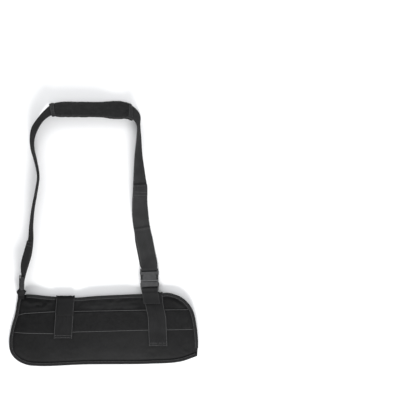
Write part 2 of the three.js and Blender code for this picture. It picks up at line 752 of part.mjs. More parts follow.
function strapFrames(strap, stations, buckleBar, lock) {
  const frames = [];
  const start = strap.at(0);
  const up = runOf(start);
  // the tail above the buckle, from its free end down to the bar
  const tail = [...stations.filter((length) => length < BUCKLE_TAIL - 2), BUCKLE_TAIL].reverse();
  for (const length of tail.filter((place) => place > 0)) {
    const gap = lerp(2 * LOOP_RADIUS, PITCH, ease(length / LAYERS_MEET));
    frames.push(shifted(strap.at(length), gap));
  }
  frames.push(...roundBar(buckleBar, start.across, up.clone().negate(), start.over, 0, 180, 6));
  // the main length, from the buckle to the adjuster
  for (const length of stations.slice(1)) frames.push(flipped(strap.at(length)));
  // round the adjuster's middle bar, across under its upper bar, and back up
  const cross = Math.asin(2 * LOOP_RADIUS / LOCK_BAR_SPACING) / DEGREE;
  frames.push(...roundBar(lock.middle, lock.across, lock.down, lock.over, 180, -cross, 7));
  const under = roundBar(lock.upper, lock.across, lock.down, lock.over, 180 - cross, 180, 2);
  frames.push(...under.map(flipped));
  const tailEnd = strap.total - ADJUSTER_TAIL;
  const back = [tailEnd, ...stations.filter((length) => length > tailEnd + 2)].reverse();
  for (const length of back.slice(1)) frames.push(shifted(strap.at(length), PITCH));
  return frames;
}

// Where the adjuster's bars are: both layers of the strap pass under the upper bar
function lockPlaces(strap) {
  const end = strap.at(strap.total);
  const down = runOf(end).normalize();
  const upper = end.centre.clone().addScaledVector(end.over, LOOP_RADIUS + PITCH);
  const middle = upper.clone().addScaledVector(down, LOCK_BAR_SPACING);
  const lower = middle.clone().addScaledVector(down, LOCK_BAR_SPACING);
  return { across: end.across, over: end.over, down, upper, middle, lower };
}

// The shoulder pad: a padded sleeve round the strap

function sleeveLoop(width, thickness) {
  const loop = [];
  for (let i = 0; i < SLEEVE_SIDES; i++) {
    const angle = (2 * Math.PI * i) / SLEEVE_SIDES;
    loop.push([Math.cos(angle) * width / 2, Math.sin(angle) * thickness / 2]);
  }
  return loop;
}

// The slot's loop has the sleeve's number of points, squared off so that the strap fits
function slotLoop(width, thickness) {
  return sleeveLoop(2, 2).map(([u, v]) => {
    const stretch = 1 / Math.max(Math.abs(u), Math.abs(v));
    return [u * stretch * width / 2, v * stretch * thickness / 2];
  });
}

// A tube with an outer and an inner loop at each frame
function sleeve(frames, outer, inner) {
  const points = [];
  const triangles = [];
  const place = (frame, loop) => {
    for (const [u, v] of loop) {
      points.push(frame.centre.clone().addScaledVector(frame.across, u).addScaledVector(frame.over, v));
    }
  };
  frames.forEach((frame, i) => place(frame, outer(i)));
  const inside = points.length;
  frames.forEach((frame, i) => place(frame, inner(i)));
  const count = SLEEVE_SIDES;
  const last = (frames.length - 1) * count;
  for (let j = 0; j < count; j++) {
    const next = (j + 1) % count;
    for (let i = 0; i < last; i += count) {
      quad(triangles, i + j, i + next, i + count + next, i + count + j);
      quad(triangles, inside + i + j, inside + i + count + j, inside + i + count + next, inside + i + next);
    }
    quad(triangles, j, inside + j, inside + next, next);
    quad(triangles, last + j, last + next, inside + last + next, inside + last + j);
  }
  return closedBody(points, triangles);
}

const PAD_CORE = PAD_LENGTH - 2 * PAD_HEM - 2 * CLEARANCE; // without the hems

function padStart(strap) {
  return strap.padMiddle - PAD_CORE / 2;
}

function padPart(strap, stations, from, to, size) {
  const between = stations.filter((length) => length > from + 0.1 && length < to - 0.1);
  const lengths = [from, ...between, to];
  const frames = lengths.map(strap.at);
  const share = (i) => size((lengths[i] - from) / (to - from));
  const slotWidth = WEBBING_WIDTH + 2 * PAD_SLOT_PLAY;
  const slotHeight = WEBBING_THICKNESS + 2 * PAD_SLOT_PLAY;
  return sleeve(frames,
    (i) => sleeveLoop(share(i).width * PAD_WIDTH, share(i).thickness * PAD_THICKNESS),
    () => slotLoop(slotWidth, slotHeight));
}

function shoulderPad(strap, stations) {
  return padPart(strap, stations, padStart(strap), padStart(strap) + PAD_CORE, (at) => ({
    width: readTable(PAD_ROWS, 'along', at, 'width'),
    thickness: readTable(PAD_ROWS, 'along', at, 'thickness'),
  }));
}

function padHem(strap, stations, side) {
  const outer = strap.padMiddle + side * PAD_LENGTH / 2;
  const inner = outer - side * PAD_HEM;
  return padPart(strap, stations, Math.min(outer, inner), Math.max(outer, inner), () => ({
    width: 0.94,
    thickness: 0.7,
  }));
}

// The side-release buckle, in its own frame: x along its bars, y up the strap, z out of it.
// The origin is on the female half's bar.

function buckleFemale() {
  const half = BUCKLE_WIDTH / 2;
  const slot = half - BUCKLE_WALL;
  const roomY = LOOP_RADIUS + WEBBING_THICKNESS / 2 + BUCKLE_ROOM;
  const prongRoom = BUCKLE_THICKNESS / 2 - BUCKLE_WALL;
  const windowLow = -0.86 * FEMALE_LENGTH;
  const windowHigh = -0.4 * FEMALE_LENGTH;
  return roundPlate([-half, -FEMALE_LENGTH], [half, BAR_RADIUS + FEMALE_END], BUCKLE_CORNER, BUCKLE_THICKNESS)
    .subtract(block([-slot, -roomY, -BUCKLE_THICKNESS], [slot, 4 * BAR_RADIUS, BUCKLE_THICKNESS]))
    .add(bar(BUCKLE_WIDTH - BUCKLE_WALL, 0))
    .subtract(block([-0.4 * BUCKLE_WIDTH, -2 * FEMALE_LENGTH, -prongRoom],
      [0.4 * BUCKLE_WIDTH, -roomY - BUCKLE_WALL, prongRoom]))
    .subtract(block([-BUCKLE_WIDTH, windowLow, -prongRoom], [BUCKLE_WIDTH, windowHigh, prongRoom]));
}

function buckleMale() {
  const half = BUCKLE_WIDTH / 2;
  const slot = half - BUCKLE_WALL;
  const mouth = -FEMALE_LENGTH - CLEARANCE;
  const barY = -BUCKLE_SPAN;
  const shoulder = barY + LOOP_RADIUS + WEBBING_THICKNESS / 2 + BUCKLE_ROOM;
  const end = barY - BAR_RADIUS - MALE_END;
  const prong = BUCKLE_THICKNESS / 2 - BUCKLE_WALL - CLEARANCE;
  const inset = 2 * CLEARANCE;
  const tip = -0.36 * FEMALE_LENGTH;
  let male = roundPlate([-half, end], [half, mouth], BUCKLE_CORNER, BUCKLE_THICKNESS)
    .subtract(block([-slot, 2 * end, -BUCKLE_THICKNESS], [slot, shoulder, BUCKLE_THICKNESS]))
    .add(bar(BUCKLE_WIDTH - BUCKLE_WALL, barY));
  for (const side of [-1, 1]) {
    const arm = [side * 0.27 * BUCKLE_WIDTH, side * (0.4 * BUCKLE_WIDTH - inset)].sort((a, b) => a - b);
    const button = [side * 0.3 * BUCKLE_WIDTH, side * (half - 2 * CLEARANCE)].sort((a, b) => a - b);
    male = male
      .add(block([arm[0], mouth - 1, -prong], [arm[1], tip, prong]))
      .add(block([button[0], -0.84 * FEMALE_LENGTH, -prong], [button[1], -0.42 * FEMALE_LENGTH, prong]));
  }
  return male.add(block([-0.07 * BUCKLE_WIDTH, mouth - 1, -prong / 2],
    [0.07 * BUCKLE_WIDTH, -0.42 * FEMALE_LENGTH, prong / 2]));
}

// The adjuster, in its own frame: x along its bars, y up the strap, z out of it, the origin
// on its middle bar
function ladderLock() {
  const low = -LOCK_BAR_SPACING - BAR_RADIUS - LOCK_END;
  const high = LOCK_BAR_SPACING + BAR_RADIUS + LOCK_END;
  const rail = roundPlate([low, -LOCK_DEPTH / 2], [high, LOCK_DEPTH / 2], BUCKLE_CORNER, LOCK_RAIL);
  const inner = LOCK_SLOT / 2;
  let lock = bar(LOCK_SLOT + LOCK_RAIL, 0)
    .add(bar(LOCK_SLOT + LOCK_RAIL, LOCK_BAR_SPACING))
    .add(bar(LOCK_SLOT + LOCK_RAIL, -LOCK_BAR_SPACING));
  for (const side of [-1, 1]) {
    // the rail's long side goes up the strap, its thickness along the bars
    lock = lock.add(rail.rotate([90, 0, 90]).translate([side * (inner + LOCK_RAIL / 2), 0, 0]));
  }
  return lock.add(block([-inner - 1, LOCK_BAR_SPACING, BAR_RADIUS / 2],
    [inner + 1, LOCK_BAR_SPACING + BAR_RADIUS + LOCK_LIP, LOCK_DEPTH / 2]));
}

// The webbing loop that ties the buckle to the right tab: two layers sewn on the tab, that
// part round the buckle's bar
function rightWebbing(barCentre, across, towards, outOf, tabX, sewnY, flatEnd, below) {
  const half = WEBBING_WIDTH / 2;
  const reach = (flatEnd - sewnY) / SEWN_ROWS;
  const lower = [];
  for (let i = 0; i <= SEWN_ROWS; i++) {
    const y = lerp(sewnY, flatEnd, i / SEWN_ROWS);
    const rest = heightOver(below, tabX(y) - half, tabX(y) + half, y - reach, y + reach);
    lower.push({ x: tabX(y), y, z: rest + CLEARANCE + WEBBING_THICKNESS / 2 });
  }
  const under = levelFrames(lower).map(flipped);
  const above = levelFrames(lower.map((p) => ({ ...p, z: p.z + PITCH }))).reverse();
  const away = barCentre.distanceTo(lower[SEWN_ROWS]);
  const wrap = Math.asin((LOOP_RADIUS - PITCH / 2) / away) / DEGREE;
  const turn = roundBar(barCentre, across, towards, outOf, 180 + wrap, -wrap, 7);
  return [...under, ...turn, ...above];
}

// The loop from the adjuster's lower bar to the pouch's corner, where it is folded and sewn
function cornerLoop(lock, corner, rest) {
  const steps = 5;
  const half = [];
  const flatRun = new THREE.Vector3(0, -1, 0);
  const flatAcross = new THREE.Vector3(-1, 0, 0);
  const sewn = new THREE.Vector3(corner.x, corner.y - CORNER_LENGTH, rest + WEBBING_THICKNESS / 2 + PITCH / 2);
  const rim = new THREE.Vector3(corner.x, corner.y, rest + WEBBING_THICKNESS / 2 + PITCH / 2);
  const route = new THREE.CatmullRomCurve3([
    lock.lower.clone(),
    lock.lower.clone().addScaledVector(lock.down, 0.35 * lock.lower.distanceTo(rim)),
    rim,
    sewn,
  ], false, 'centripetal');
  for (let i = 1; i <= 2 * steps; i++) {
    const share = i / (2 * steps);
    const turn = ease(share / 0.66);
    const across = lock.across.clone().lerp(flatAcross, turn).normalize();
    const run = i === 2 * steps ? flatRun : route.getTangent(share);
    const over = new THREE.Vector3().crossVectors(across, run).normalize();
    const width = lerp(WEBBING_WIDTH, CORNER_WIDTH, turn);
    const gap = lerp(LOOP_RADIUS, PITCH / 2, ease((share - 0.12) / 0.5));
    half.push({ centre: route.getPoint(share), across, over, width, gap });
  }
  const away = (sign) => half.map((f) => ({
    centre: f.centre.clone().addScaledVector(f.over, sign * f.gap),
    across: f.across,
    over: f.over.clone().multiplyScalar(sign),
    width: f.width,
  }));
  const turn = roundBar(lock.lower, lock.across, lock.down.clone().negate(), lock.over, 0, 180, 6)
    .map((f) => ({ ...f, width: WEBBING_WIDTH }));
  return [...away(1).reverse(), ...turn, ...away(-1)];
}

// Materials

function fabric(name, color, roughness = 0.95) {
  return new THREE.MeshStandardMaterial({ name, color, roughness, metalness: 0 });
}

const laminate = fabric('padded_fabric', 0x2e2f30);
const loopPile = fabric('loop_pile', 0x1c1c1d, 1);
const tape = fabric('binding_tape', 0x242425);
const webbing = fabric('webbing', 0x262728, 0.85);
const padCloth = fabric('pad_cloth', 0x222223);
const plastic = fabric('plastic', 0x3c3d3e, 0.45);

// Assembly

const sling = new THREE.Group();

function put(name, geometry, material, place) {
  const mesh = new THREE.Mesh(geometry, material.clone());
  mesh.material.side = THREE.DoubleSide;
  mesh.name = name;
  if (place) mesh.applyMatrix4(place);
  mesh.updateMatrixWorld(true);
  sling.add(mesh);
  return mesh;
}

const back = put('back_panel', backPanel(), laminate);
const front = put('front_panel', frontPanel(), laminate);
const seam = put('seam_binding', foldedTape(seamEdge, [back, front], 0), tape);
put('back_rim_binding', foldedTape(openRim(), [back], 0), tape);
const frontRim = put('front_rim_binding', foldedTape(openRim(), [front], BINDING_SLACK), tape);
const band = put('loop_band', loopBand([front]), loopPile);

const onFront = [front, frontRim, band];
const leftPlaces = tabPlaces(LEFT_TAB_LEAN, LEFT_TAB_DROP, onFront);
const rightPlaces = tabPlaces(RIGHT_TAB_LEAN, RIGHT_TAB_DROP, onFront);
const leftTab = put('left_tab', carrySection(levelFrames(leftPlaces), tabSection), webbing);
const rightTab = put('right_tab', carrySection(levelFrames(rightPlaces), tabSection), webbing);

const rimY = rimAt(ADJUSTER_ALONG * POUCH_LENGTH);
const strap = strapTables(ADJUSTER_ALONG * POUCH_LENGTH, BUCKLE_ALONG * POUCH_LENGTH, rimY);
const strapStart = strap.at(0);
const buckleBar = strapStart.centre.clone().addScaledVector(strapStart.over, LOOP_RADIUS);
const lock = lockPlaces(strap);
const stations = strapStations(strap);
const strapWalk = strapFrames(strap, stations, buckleBar, lock);
put('shoulder_strap', carrySection(strapWalk, () => flatSection(WEBBING_WIDTH, WEBBING_THICKNESS)), webbing);
put('shoulder_pad', shoulderPad(strap, stations), padCloth);
put('pad_hem_right', padHem(strap, stations, -1), padCloth);
put('pad_hem_left', padHem(strap, stations, 1), padCloth);

const strapUp = runOf(strapStart);
const bucklePlace = new THREE.Matrix4()
  .makeBasis(strapStart.across, strapUp, strapStart.over)
  .setPosition(buckleBar)
  .multiply(new THREE.Matrix4().makeRotationX(-BUCKLE_TILT * DEGREE));
put('buckle_female', geometryOf(buckleFemale()), plastic, bucklePlace);
put('buckle_male', geometryOf(buckleMale()), plastic, bucklePlace);

const lockPlace = new THREE.Matrix4()
  .makeBasis(lock.across.clone().negate(), lock.down.clone().negate(), lock.over)
  .setPosition(lock.middle);
put('ladder_lock', geometryOf(ladderLock()), plastic, lockPlace);

const maleBar = new THREE.Vector3(0, -BUCKLE_SPAN, 0).applyMatrix4(bucklePlace);
const towardsStrap = new THREE.Vector3(0, 1, 0).transformDirection(bucklePlace);
const outOfBuckle = new THREE.Vector3(0, 0, 1).transformDirection(bucklePlace);
const tabTop = rimAt(RIGHT_TAB_LEAN[0].along * POUCH_LENGTH);
const tabOut = Math.max(...rightPlaces.map((p) => p.y)) + TAB_EDGE_THICKNESS;
const sewnY = tabTop - SEWN_LENGTH;
const leanFrom = maleBar.y - LOOP_RADIUS - WEBBING_THICKNESS;
const webbingX = (y) => lerp(maleBar.x, RIGHT_TAB_LEAN[0].along * POUCH_LENGTH - SEWN_SHIFT,
  clamp((leanFrom - y) / (leanFrom - sewnY), 0, 1));
put('right_webbing', carrySection(
  rightWebbing(maleBar, strapStart.across, towardsStrap, outOfBuckle, webbingX, sewnY, tabOut, [rightTab, ...onFront]),
  () => flatSection(WEBBING_WIDTH, WEBBING_THICKNESS)), webbing);

const leftFold = leftPlaces.find((place) => place.folds);
const patchTop = leftFold.y - WEBBING_THICKNESS;
const patchWidth = TAB_WIDTH - 2 * TAB_EDGE_WIDTH - 2 * CLEARANCE;
const patchStep = PATCH_LENGTH / PATCH_ROWS;
const patchPlaces = [];
for (let i = 0; i <= PATCH_ROWS; i++) {
  const y = patchTop - i * patchStep;
  const { x } = leftFold;
  const rest = heightOver([leftTab], x - patchWidth / 2, x + patchWidth / 2, y - patchStep / 2, y + patchStep / 2);
  patchPlaces.push({ x, y, z: rest + CLEARANCE + WEBBING_THICKNESS / 2 });
}
put('left_tab_webbing', carrySection(levelFrames(patchPlaces),
  () => flatSection(patchWidth, WEBBING_THICKNESS)), webbing);

const corner = new THREE.Vector3(SEAM_POINTS[0].along * POUCH_LENGTH + CORNER_INSET, SEAM_POINTS[0].up * POUCH_DEPTH, 0);
const cornerRest = heightOver([front, seam, frontRim], corner.x - CORNER_WIDTH / 2, corner.x + CORNER_WIDTH / 2,
  corner.y - CORNER_LENGTH, corner.y + 2) + CLEARANCE;
put('corner_loop', carrySection(cornerLoop(lock, corner, cornerRest),
  (frame) => flatSection(frame.width, WEBBING_THICKNESS)), webbing);

export default sling;
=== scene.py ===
# %% [markdown]
# # An arm sling, laid flat on a table
#
# A padded forearm pouch, a webbing strap with a shoulder pad, a side-release buckle and an
# adjuster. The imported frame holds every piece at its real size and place. This lesson dresses
# it piece by piece: each soft piece is woven, sewn or stuffed again as fine meshes that stay
# in the space of the solid they stand for.

# %% Load the frame
import math

import bmesh
import bpy
import numpy as np
from mathutils import Matrix, Vector, noise
from mathutils.bvhtree import BVHTree
from mathutils.geometry import delaunay_2d_cdt


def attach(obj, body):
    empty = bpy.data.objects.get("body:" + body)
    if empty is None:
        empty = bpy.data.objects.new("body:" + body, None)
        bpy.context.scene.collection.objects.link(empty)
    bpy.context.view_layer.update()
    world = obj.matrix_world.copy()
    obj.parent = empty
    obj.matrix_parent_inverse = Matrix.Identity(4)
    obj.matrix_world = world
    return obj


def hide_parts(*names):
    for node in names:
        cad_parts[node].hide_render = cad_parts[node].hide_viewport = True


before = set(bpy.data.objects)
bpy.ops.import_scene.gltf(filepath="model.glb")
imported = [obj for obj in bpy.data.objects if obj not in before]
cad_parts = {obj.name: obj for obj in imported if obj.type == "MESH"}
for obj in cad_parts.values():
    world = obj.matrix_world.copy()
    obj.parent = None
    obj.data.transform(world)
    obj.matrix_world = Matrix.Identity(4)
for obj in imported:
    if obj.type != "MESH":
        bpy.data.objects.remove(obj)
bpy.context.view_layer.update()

MM = 0.001
BODY = "root"
print("nodes in the frame:", len(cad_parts))

# %% [markdown]
# ## Where the camera hangs
# The sling was photographed from straight above. A long lens far up keeps the tall edges of
# the strap from leaning outwards, as a short lens near the table would make them.

# %% Camera
VIEW_MIDDLE = Vector((234 * MM, 314.4 * MM, 0))
VIEW_WIDTH = 972 * MM
CAMERA_HEIGHT = 8.0
SENSOR = 36.0

lens = bpy.data.cameras.new("camera")
lens.sensor_width = SENSOR
lens.lens = SENSOR * CAMERA_HEIGHT / VIEW_WIDTH
lens.clip_end = 50
camera = bpy.data.objects.new("camera", lens)
camera.location = VIEW_MIDDLE + Vector((0, 0, CAMERA_HEIGHT))
bpy.context.scene.collection.objects.link(camera)
bpy.context.scene.camera = camera
print("focal length in mm:", round(lens.lens, 1))

# %% [markdown]
# ## The light
# A studio cut-out has almost no shadow: a bright dome does most of the work. One large soft
# panel on the near side gives the cloth a direction, so that hems facing it catch a light
# line and folds get a dark side.

# %% Lights
SCENE_FOCUS = Vector((0, 220 * MM, 0))
SOFT_PANELS = (
    # name, place and size in metres, and power in watts
    ("key_panel", (0.35, -1.9, 1.1), (0.8, 0.6), 62),
    ("fill_panel", (-0.6, 1.9, 1.6), (1.4, 0.8), 10),
)
DOME_COLOR = (0.97, 0.98, 1.0, 1)
DOME_STRENGTH = 0.86


def soft_panel(name, place, size, power):
    lamp = bpy.data.lights.new(name, "AREA")
    lamp.shape = "RECTANGLE"
    lamp.size, lamp.size_y = size
    lamp.energy = power
    holder = bpy.data.objects.new(name, lamp)
    holder.location = place
    holder.rotation_euler = (SCENE_FOCUS - Vector(place)).to_track_quat("-Z", "Y").to_euler()
    bpy.context.scene.collection.objects.link(holder)


for name, place, size, power in SOFT_PANELS:
    soft_panel(name, place, size, power)

sky = bpy.data.worlds.new("studio")
sky.use_nodes = True
sky.node_tree.nodes["Background"].inputs["Color"].default_value = DOME_COLOR
sky.node_tree.nodes["Background"].inputs["Strength"].default_value = DOME_STRENGTH
bpy.context.scene.world = sky
bpy.context.scene.view_settings.view_transform = "Standard"

# %% [markdown]
# ## Writing shaders as sums
# A finish is easier to read as arithmetic than as wires. `Wire` wraps one output, and each
# operator adds the Math node that it stands for. `Finish.node` adds any other node.


# %% Shader arithmetic
class Wire:
    """One node output, with arithmetic."""

    def __init__(self, finish, socket):
        self.finish = finish
        self.socket = socket

    def __add__(self, other):
        return self.finish.maths("ADD", self, other)

    def __sub__(self, other):
        return self.finish.maths("SUBTRACT", self, other)

    def __rsub__(self, other):
        return self.finish.maths("SUBTRACT", other, self)

    def __mul__(self, other):
        return self.finish.maths("MULTIPLY", self, other)

    def __truediv__(self, other):
        return self.finish.maths("DIVIDE", self, other)

    def __pow__(self, other):
        return self.finish.maths("POWER", self, other)

    def __abs__(self):
        return self.finish.maths("ABSOLUTE", self, 0)

    __radd__ = __add__
    __rmul__ = __mul__


class Finish:
    """A material with its Principled shader, written as expressions."""

    def __init__(self, name, roughness, sheen=0.0, specular=0.4):
        self.material = bpy.data.materials.new(name)
        self.material.use_nodes = True
        self.tree = self.material.node_tree
        self.shader = self.tree.nodes["Principled BSDF"]
        self.shader.inputs["Roughness"].default_value = roughness
        self.shader.inputs["Specular IOR Level"].default_value = specular
        self.shader.inputs["Sheen Weight"].default_value = sheen
        self.shader.inputs["Sheen Roughness"].default_value = 0.45

    def node(self, kind, settings, inputs, output=0):
        made = self.tree.nodes.new("ShaderNode" + kind)
        for key, value in settings.items():
            setattr(made, key, value)
        for key, value in inputs.items():
            if isinstance(value, Wire):
                self.tree.links.new(value.socket, made.inputs[key])
            else:
                made.inputs[key].default_value = value
        return Wire(self, made.outputs[output])

    def maths(self, operation, first, second):
        return self.node("Math", {"operation": operation}, {0: first, 1: second})

    def sine(self, value):
        return self.maths("SINE", value, 0)

    def floor(self, value):
        return self.maths("FLOOR", value, 0)

    def smooth(self, value, low, high):
        settings = {"interpolation_type": "SMOOTHSTEP"}
        return self.node("MapRange", settings, {0: value, 1: low, 2: high, 3: 0.0, 4: 1.0})

    def place(self):
        return self.node("TexCoord", {}, {}, "Object")

    def part_of(self, vector, axis):
        """One direction of a vector: 0 for x, 1 for y."""
        return self.node("SeparateXYZ", {}, {0: vector}, axis)

    def across_and_along(self):
        """A strip's own directions in metres: across it and along it."""
        uv = self.node("TexCoord", {}, {}, "UV")
        return self.part_of(uv, 0), self.part_of(uv, 1)

    def noise(self, vector, size, detail=2.0, roughness=0.5):
        values = {"Vector": vector, "Scale": 1 / size, "Detail": detail, "Roughness": roughness}
        return self.node("TexNoise", {}, values, "Fac")

    def shade(self, dark, light, share):
        """A colour between two, by a share."""
        inputs = {0: share, 6: (*dark, 1), 7: (*light, 1)}
        return self.node("Mix", {"data_type": "RGBA"}, inputs, 2)

    def finish(self, color, height, depth, roughness=None):
        """Sends a colour, a relief of that depth in metres and a roughness to the shader."""
        self.tree.links.new(color.socket, self.shader.inputs["Base Color"])
        bump = self.node("Bump", {}, {"Height": height, "Distance": depth, "Strength": 1.0})
        self.tree.links.new(bump.socket, self.shader.inputs["Normal"])
        if roughness is not None:
            self.tree.links.new(roughness.socket, self.shader.inputs["Roughness"])
        return self.material


# %% [markdown]
# ## The finishes
# All of it is black, but no two pieces are the same black. The pouch is a brushed knit bonded
# to foam, soft and mottled. The band is loop pile, darker because its loops trap the light.
# The webbing shows its yarns, the pad's cover is a fine jersey, and the plastic is a greyer
# moulding with a dull gloss.


# %% Cloth finishes
def brushed_knit():
    cloth = Finish("padded_fabric", 0.92, sheen=0.03, specular=0.1)
    place = cloth.place()
    drift = cloth.noise(place, 60 * MM, 3)
    nap = cloth.noise(place, 5 * MM, 4, 0.6)
    fibre = cloth.noise(place, 0.7 * MM, 3, 0.7)
    along = cloth.part_of(place, 0)
    left_end = cloth.smooth(along, -190 * MM, -20 * MM)
    right_end = cloth.smooth(along, 60 * MM, 200 * MM)
    # Painted shade: the knit is painted darker towards the elbow end, and a little darker towards the hand's
    # end, for the shade that falls there.
    painted_shade_by_x = 0.7 + 0.3 * left_end - 0.22 * right_end
    tone = painted_shade_by_x * (0.45 * drift + 0.35 * nap + 0.5 * fibre)
    color = cloth.shade((0.0055, 0.0055, 0.0056), (0.0188, 0.0188, 0.019), cloth.smooth(tone, 0.1, 1.0))
    return cloth.finish(color, 0.6 * fibre + nap, 0.5 * MM)


def loop_pile():
    cloth = Finish("loop_pile", 1.0, sheen=0.03, specular=0.08)
    place = cloth.place()
    cells = {"Vector": place, "Scale": 1 / (1.3 * MM)}
    loops = cloth.node("TexVoronoi", {"feature": "F1"}, cells, "Distance")
    crush = cloth.noise(place, 11 * MM, 3, 0.6)
    # Painted shade: the pile is painted darker towards the elbow end.
    painted_shade_by_x = 0.66 + 0.34 * cloth.smooth(cloth.part_of(place, 0), -190 * MM, 10 * MM)
    tone = painted_shade_by_x * (0.7 * (1 - loops) + 0.5 * crush)
    color = cloth.shade((0.0035, 0.0035, 0.0036), (0.020, 0.020, 0.0203), tone)
    return cloth.finish(color, 1 - loops + crush, 0.7 * MM)


def yarns(cloth, across_pitch, along_pitch):
    """Relief of a weave: each column of yarns is half a step on from its neighbour."""
    across, along = cloth.across_and_along()
    column = cloth.floor(across / across_pitch)
    float_over = abs(cloth.sine(math.pi * (along / along_pitch + 0.5 * column)))
    groove = abs(cloth.sine(across * (math.pi / across_pitch))) ** 0.6
    return float_over * groove


def webbing_weave(name, width, dark, light):
    cloth = Finish(name, 0.85, specular=0.04)
    across, _ = cloth.across_and_along()
    weave = yarns(cloth, 2.4 * MM, 3.1 * MM)
    place = cloth.place()
    worn = cloth.noise(place, 24 * MM, 3)
    fibre = cloth.noise(place, 0.5 * MM, 2, 0.7)
    edge = cloth.smooth(abs(across), 0.5 * width - 2.6 * MM, 0.5 * width - 1.0 * MM)
    # Painted shade: the webbing is painted darker towards the elbow end, where the strap stands on its edge
    # in shade.
    painted_shade_by_x = 0.5 + 0.5 * cloth.smooth(cloth.part_of(place, 0), -150 * MM, 30 * MM)
    tone = painted_shade_by_x * cloth.smooth(0.55 * weave + 0.3 * worn + 0.25 * fibre + 0.3 * edge, 0.15, 1.15)
    color = cloth.shade(dark, light, tone)
    return cloth.finish(color, weave + 0.25 * fibre, 0.45 * MM)


def ribbed_tape(name, dark, light):
    cloth = Finish(name, 0.85, sheen=0.03, specular=0.1)
    _, along = cloth.across_and_along()
    rib = abs(cloth.sine(along * (math.pi / (1.3 * MM))))
    fibre = cloth.noise(cloth.place(), 0.6 * MM, 2, 0.7)
    color = cloth.shade(dark, light, 0.5 * rib + 0.4 * fibre)
    return cloth.finish(color, rib + 0.4 * fibre, 0.3 * MM)


def pad_jersey(name, dark, light):
    cloth = Finish(name, 0.95, sheen=0.03, specular=0.08)
    across, along = cloth.across_and_along()
    wale = abs(cloth.sine(across * (math.pi / (1.5 * MM))))
    course = abs(cloth.sine(along * (math.pi / (1.1 * MM))))
    nap = cloth.noise(cloth.place(), 9 * MM, 4, 0.6)
    fibre = cloth.noise(cloth.place(), 0.6 * MM, 2, 0.7)
    tone = 0.3 * wale * course + 0.45 * nap + 0.35 * fibre
    color = cloth.shade(dark, light, cloth.smooth(tone, 0.15, 1.0))
    return cloth.finish(color, wale * course + 0.5 * fibre, 0.3 * MM)


KNIT = brushed_knit()
PILE = loop_pile()
WEBBING_CLOTH = webbing_weave("webbing", 40 * MM, (0.011, 0.011, 0.0112), (0.074, 0.074, 0.0745))
TIE_CLOTH = webbing_weave("webbing_tie", 40 * MM, (0.009, 0.009, 0.0092), (0.045, 0.045, 0.0455))
TAB_CLOTH = webbing_weave("tab_cloth", 45 * MM, (0.009, 0.009, 0.0092), (0.039, 0.039, 0.0395))
RIM_TAPE = ribbed_tape("rim_tape", (0.007, 0.007, 0.0071), (0.031, 0.031, 0.0314))
SEAM_TAPE = ribbed_tape("seam_tape", (0.006, 0.006, 0.0061), (0.026, 0.026, 0.0263))
# Painted highlight: the band's woven selvedges are painted lighter than the pile, for the light that their
# edges catch.
SELVEDGE_PAINTED_HIGHLIGHT = ribbed_tape("selvedge_tape_painted_highlight", (0.030, 0.030, 0.0303), (0.088, 0.088, 0.089))
JERSEY = pad_jersey("pad_cloth", (0.010, 0.010, 0.0102), (0.042, 0.042, 0.0425))
# Painted highlight: the pad's hems are its own jersey painted lighter, for the glints on their gathers.
HEM_PAINTED_HIGHLIGHT_JERSEY = pad_jersey("pad_hem_painted_highlight_cloth", (0.012, 0.012, 0.0123), (0.072, 0.072, 0.073))


# %% Plastic and thread finishes
def moulded_plastic(name, dark, light, dullness):
    plastic = Finish(name, 0.42, specular=0.5)
    place = plastic.place()
    grain = plastic.noise(place, 0.9 * MM, 2)
    scuff = plastic.noise(place, 7 * MM, 4, 0.65)
    color = plastic.shade(dark, light, plastic.smooth(scuff, 0.3, 0.75))
    return plastic.finish(color, grain, 0.06 * MM, dullness + 0.22 * scuff)


def sewing_thread():
    thread = Finish("thread", 0.7, specular=0.2)
    twist = thread.noise(thread.place(), 0.6 * MM, 2)
    color = thread.shade((0.06, 0.06, 0.061), (0.15, 0.15, 0.152), twist)
    return thread.finish(color, twist, 0.1 * MM)


def table_top():
    paper = Finish("table_top", 0.9)
    speck = paper.noise(paper.place(), 400 * MM, 2)
    color = paper.shade((0.90, 0.90, 0.90), (0.93, 0.93, 0.93), speck)
    return paper.finish(color, speck, 0.02 * MM)


PLASTIC = moulded_plastic("buckle_plastic", (0.029, 0.029, 0.0295), (0.052, 0.052, 0.053), 0.36)
DARK_PLASTIC = moulded_plastic("adjuster_plastic", (0.005, 0.005, 0.0051), (0.014, 0.014, 0.0143), 0.3)
THREAD = sewing_thread()
finishes = (KNIT, PILE, WEBBING_CLOTH, TIE_CLOTH, TAB_CLOTH, RIM_TAPE, SEAM_TAPE, SELVEDGE_PAINTED_HIGHLIGHT, JERSEY,
            HEM_PAINTED_HIGHLIGHT_JERSEY, PLASTIC, DARK_PLASTIC, THREAD)
print("finishes:", [finish.name for finish in finishes])

# %% Floor
FLOOR_LEVEL = -0.4 * MM
FLOOR_REACH = 6.0
corners = [(x * FLOOR_REACH, y * FLOOR_REACH, FLOOR_LEVEL) for x, y in ((-1, -1), (1, -1), (1, 1), (-1, 1))]
floor_mesh = bpy.data.meshes.new("floor")
floor_mesh.from_pydata(corners, [], [(0, 1, 2, 3)])
floor_mesh.materials.append(table_top())
floor = bpy.data.objects.new("floor", floor_mesh)
bpy.context.scene.collection.objects.link(floor)

# %% [markdown]
# ## Meshes from points
# Nearly every piece here is a strip: a section carried along a path. `strip` makes one with
# its own directions stored as UV in metres, so a weave follows the cloth round any bend.
# `register` attaches a finished piece to its body and hides the frame's nodes that it stands for.


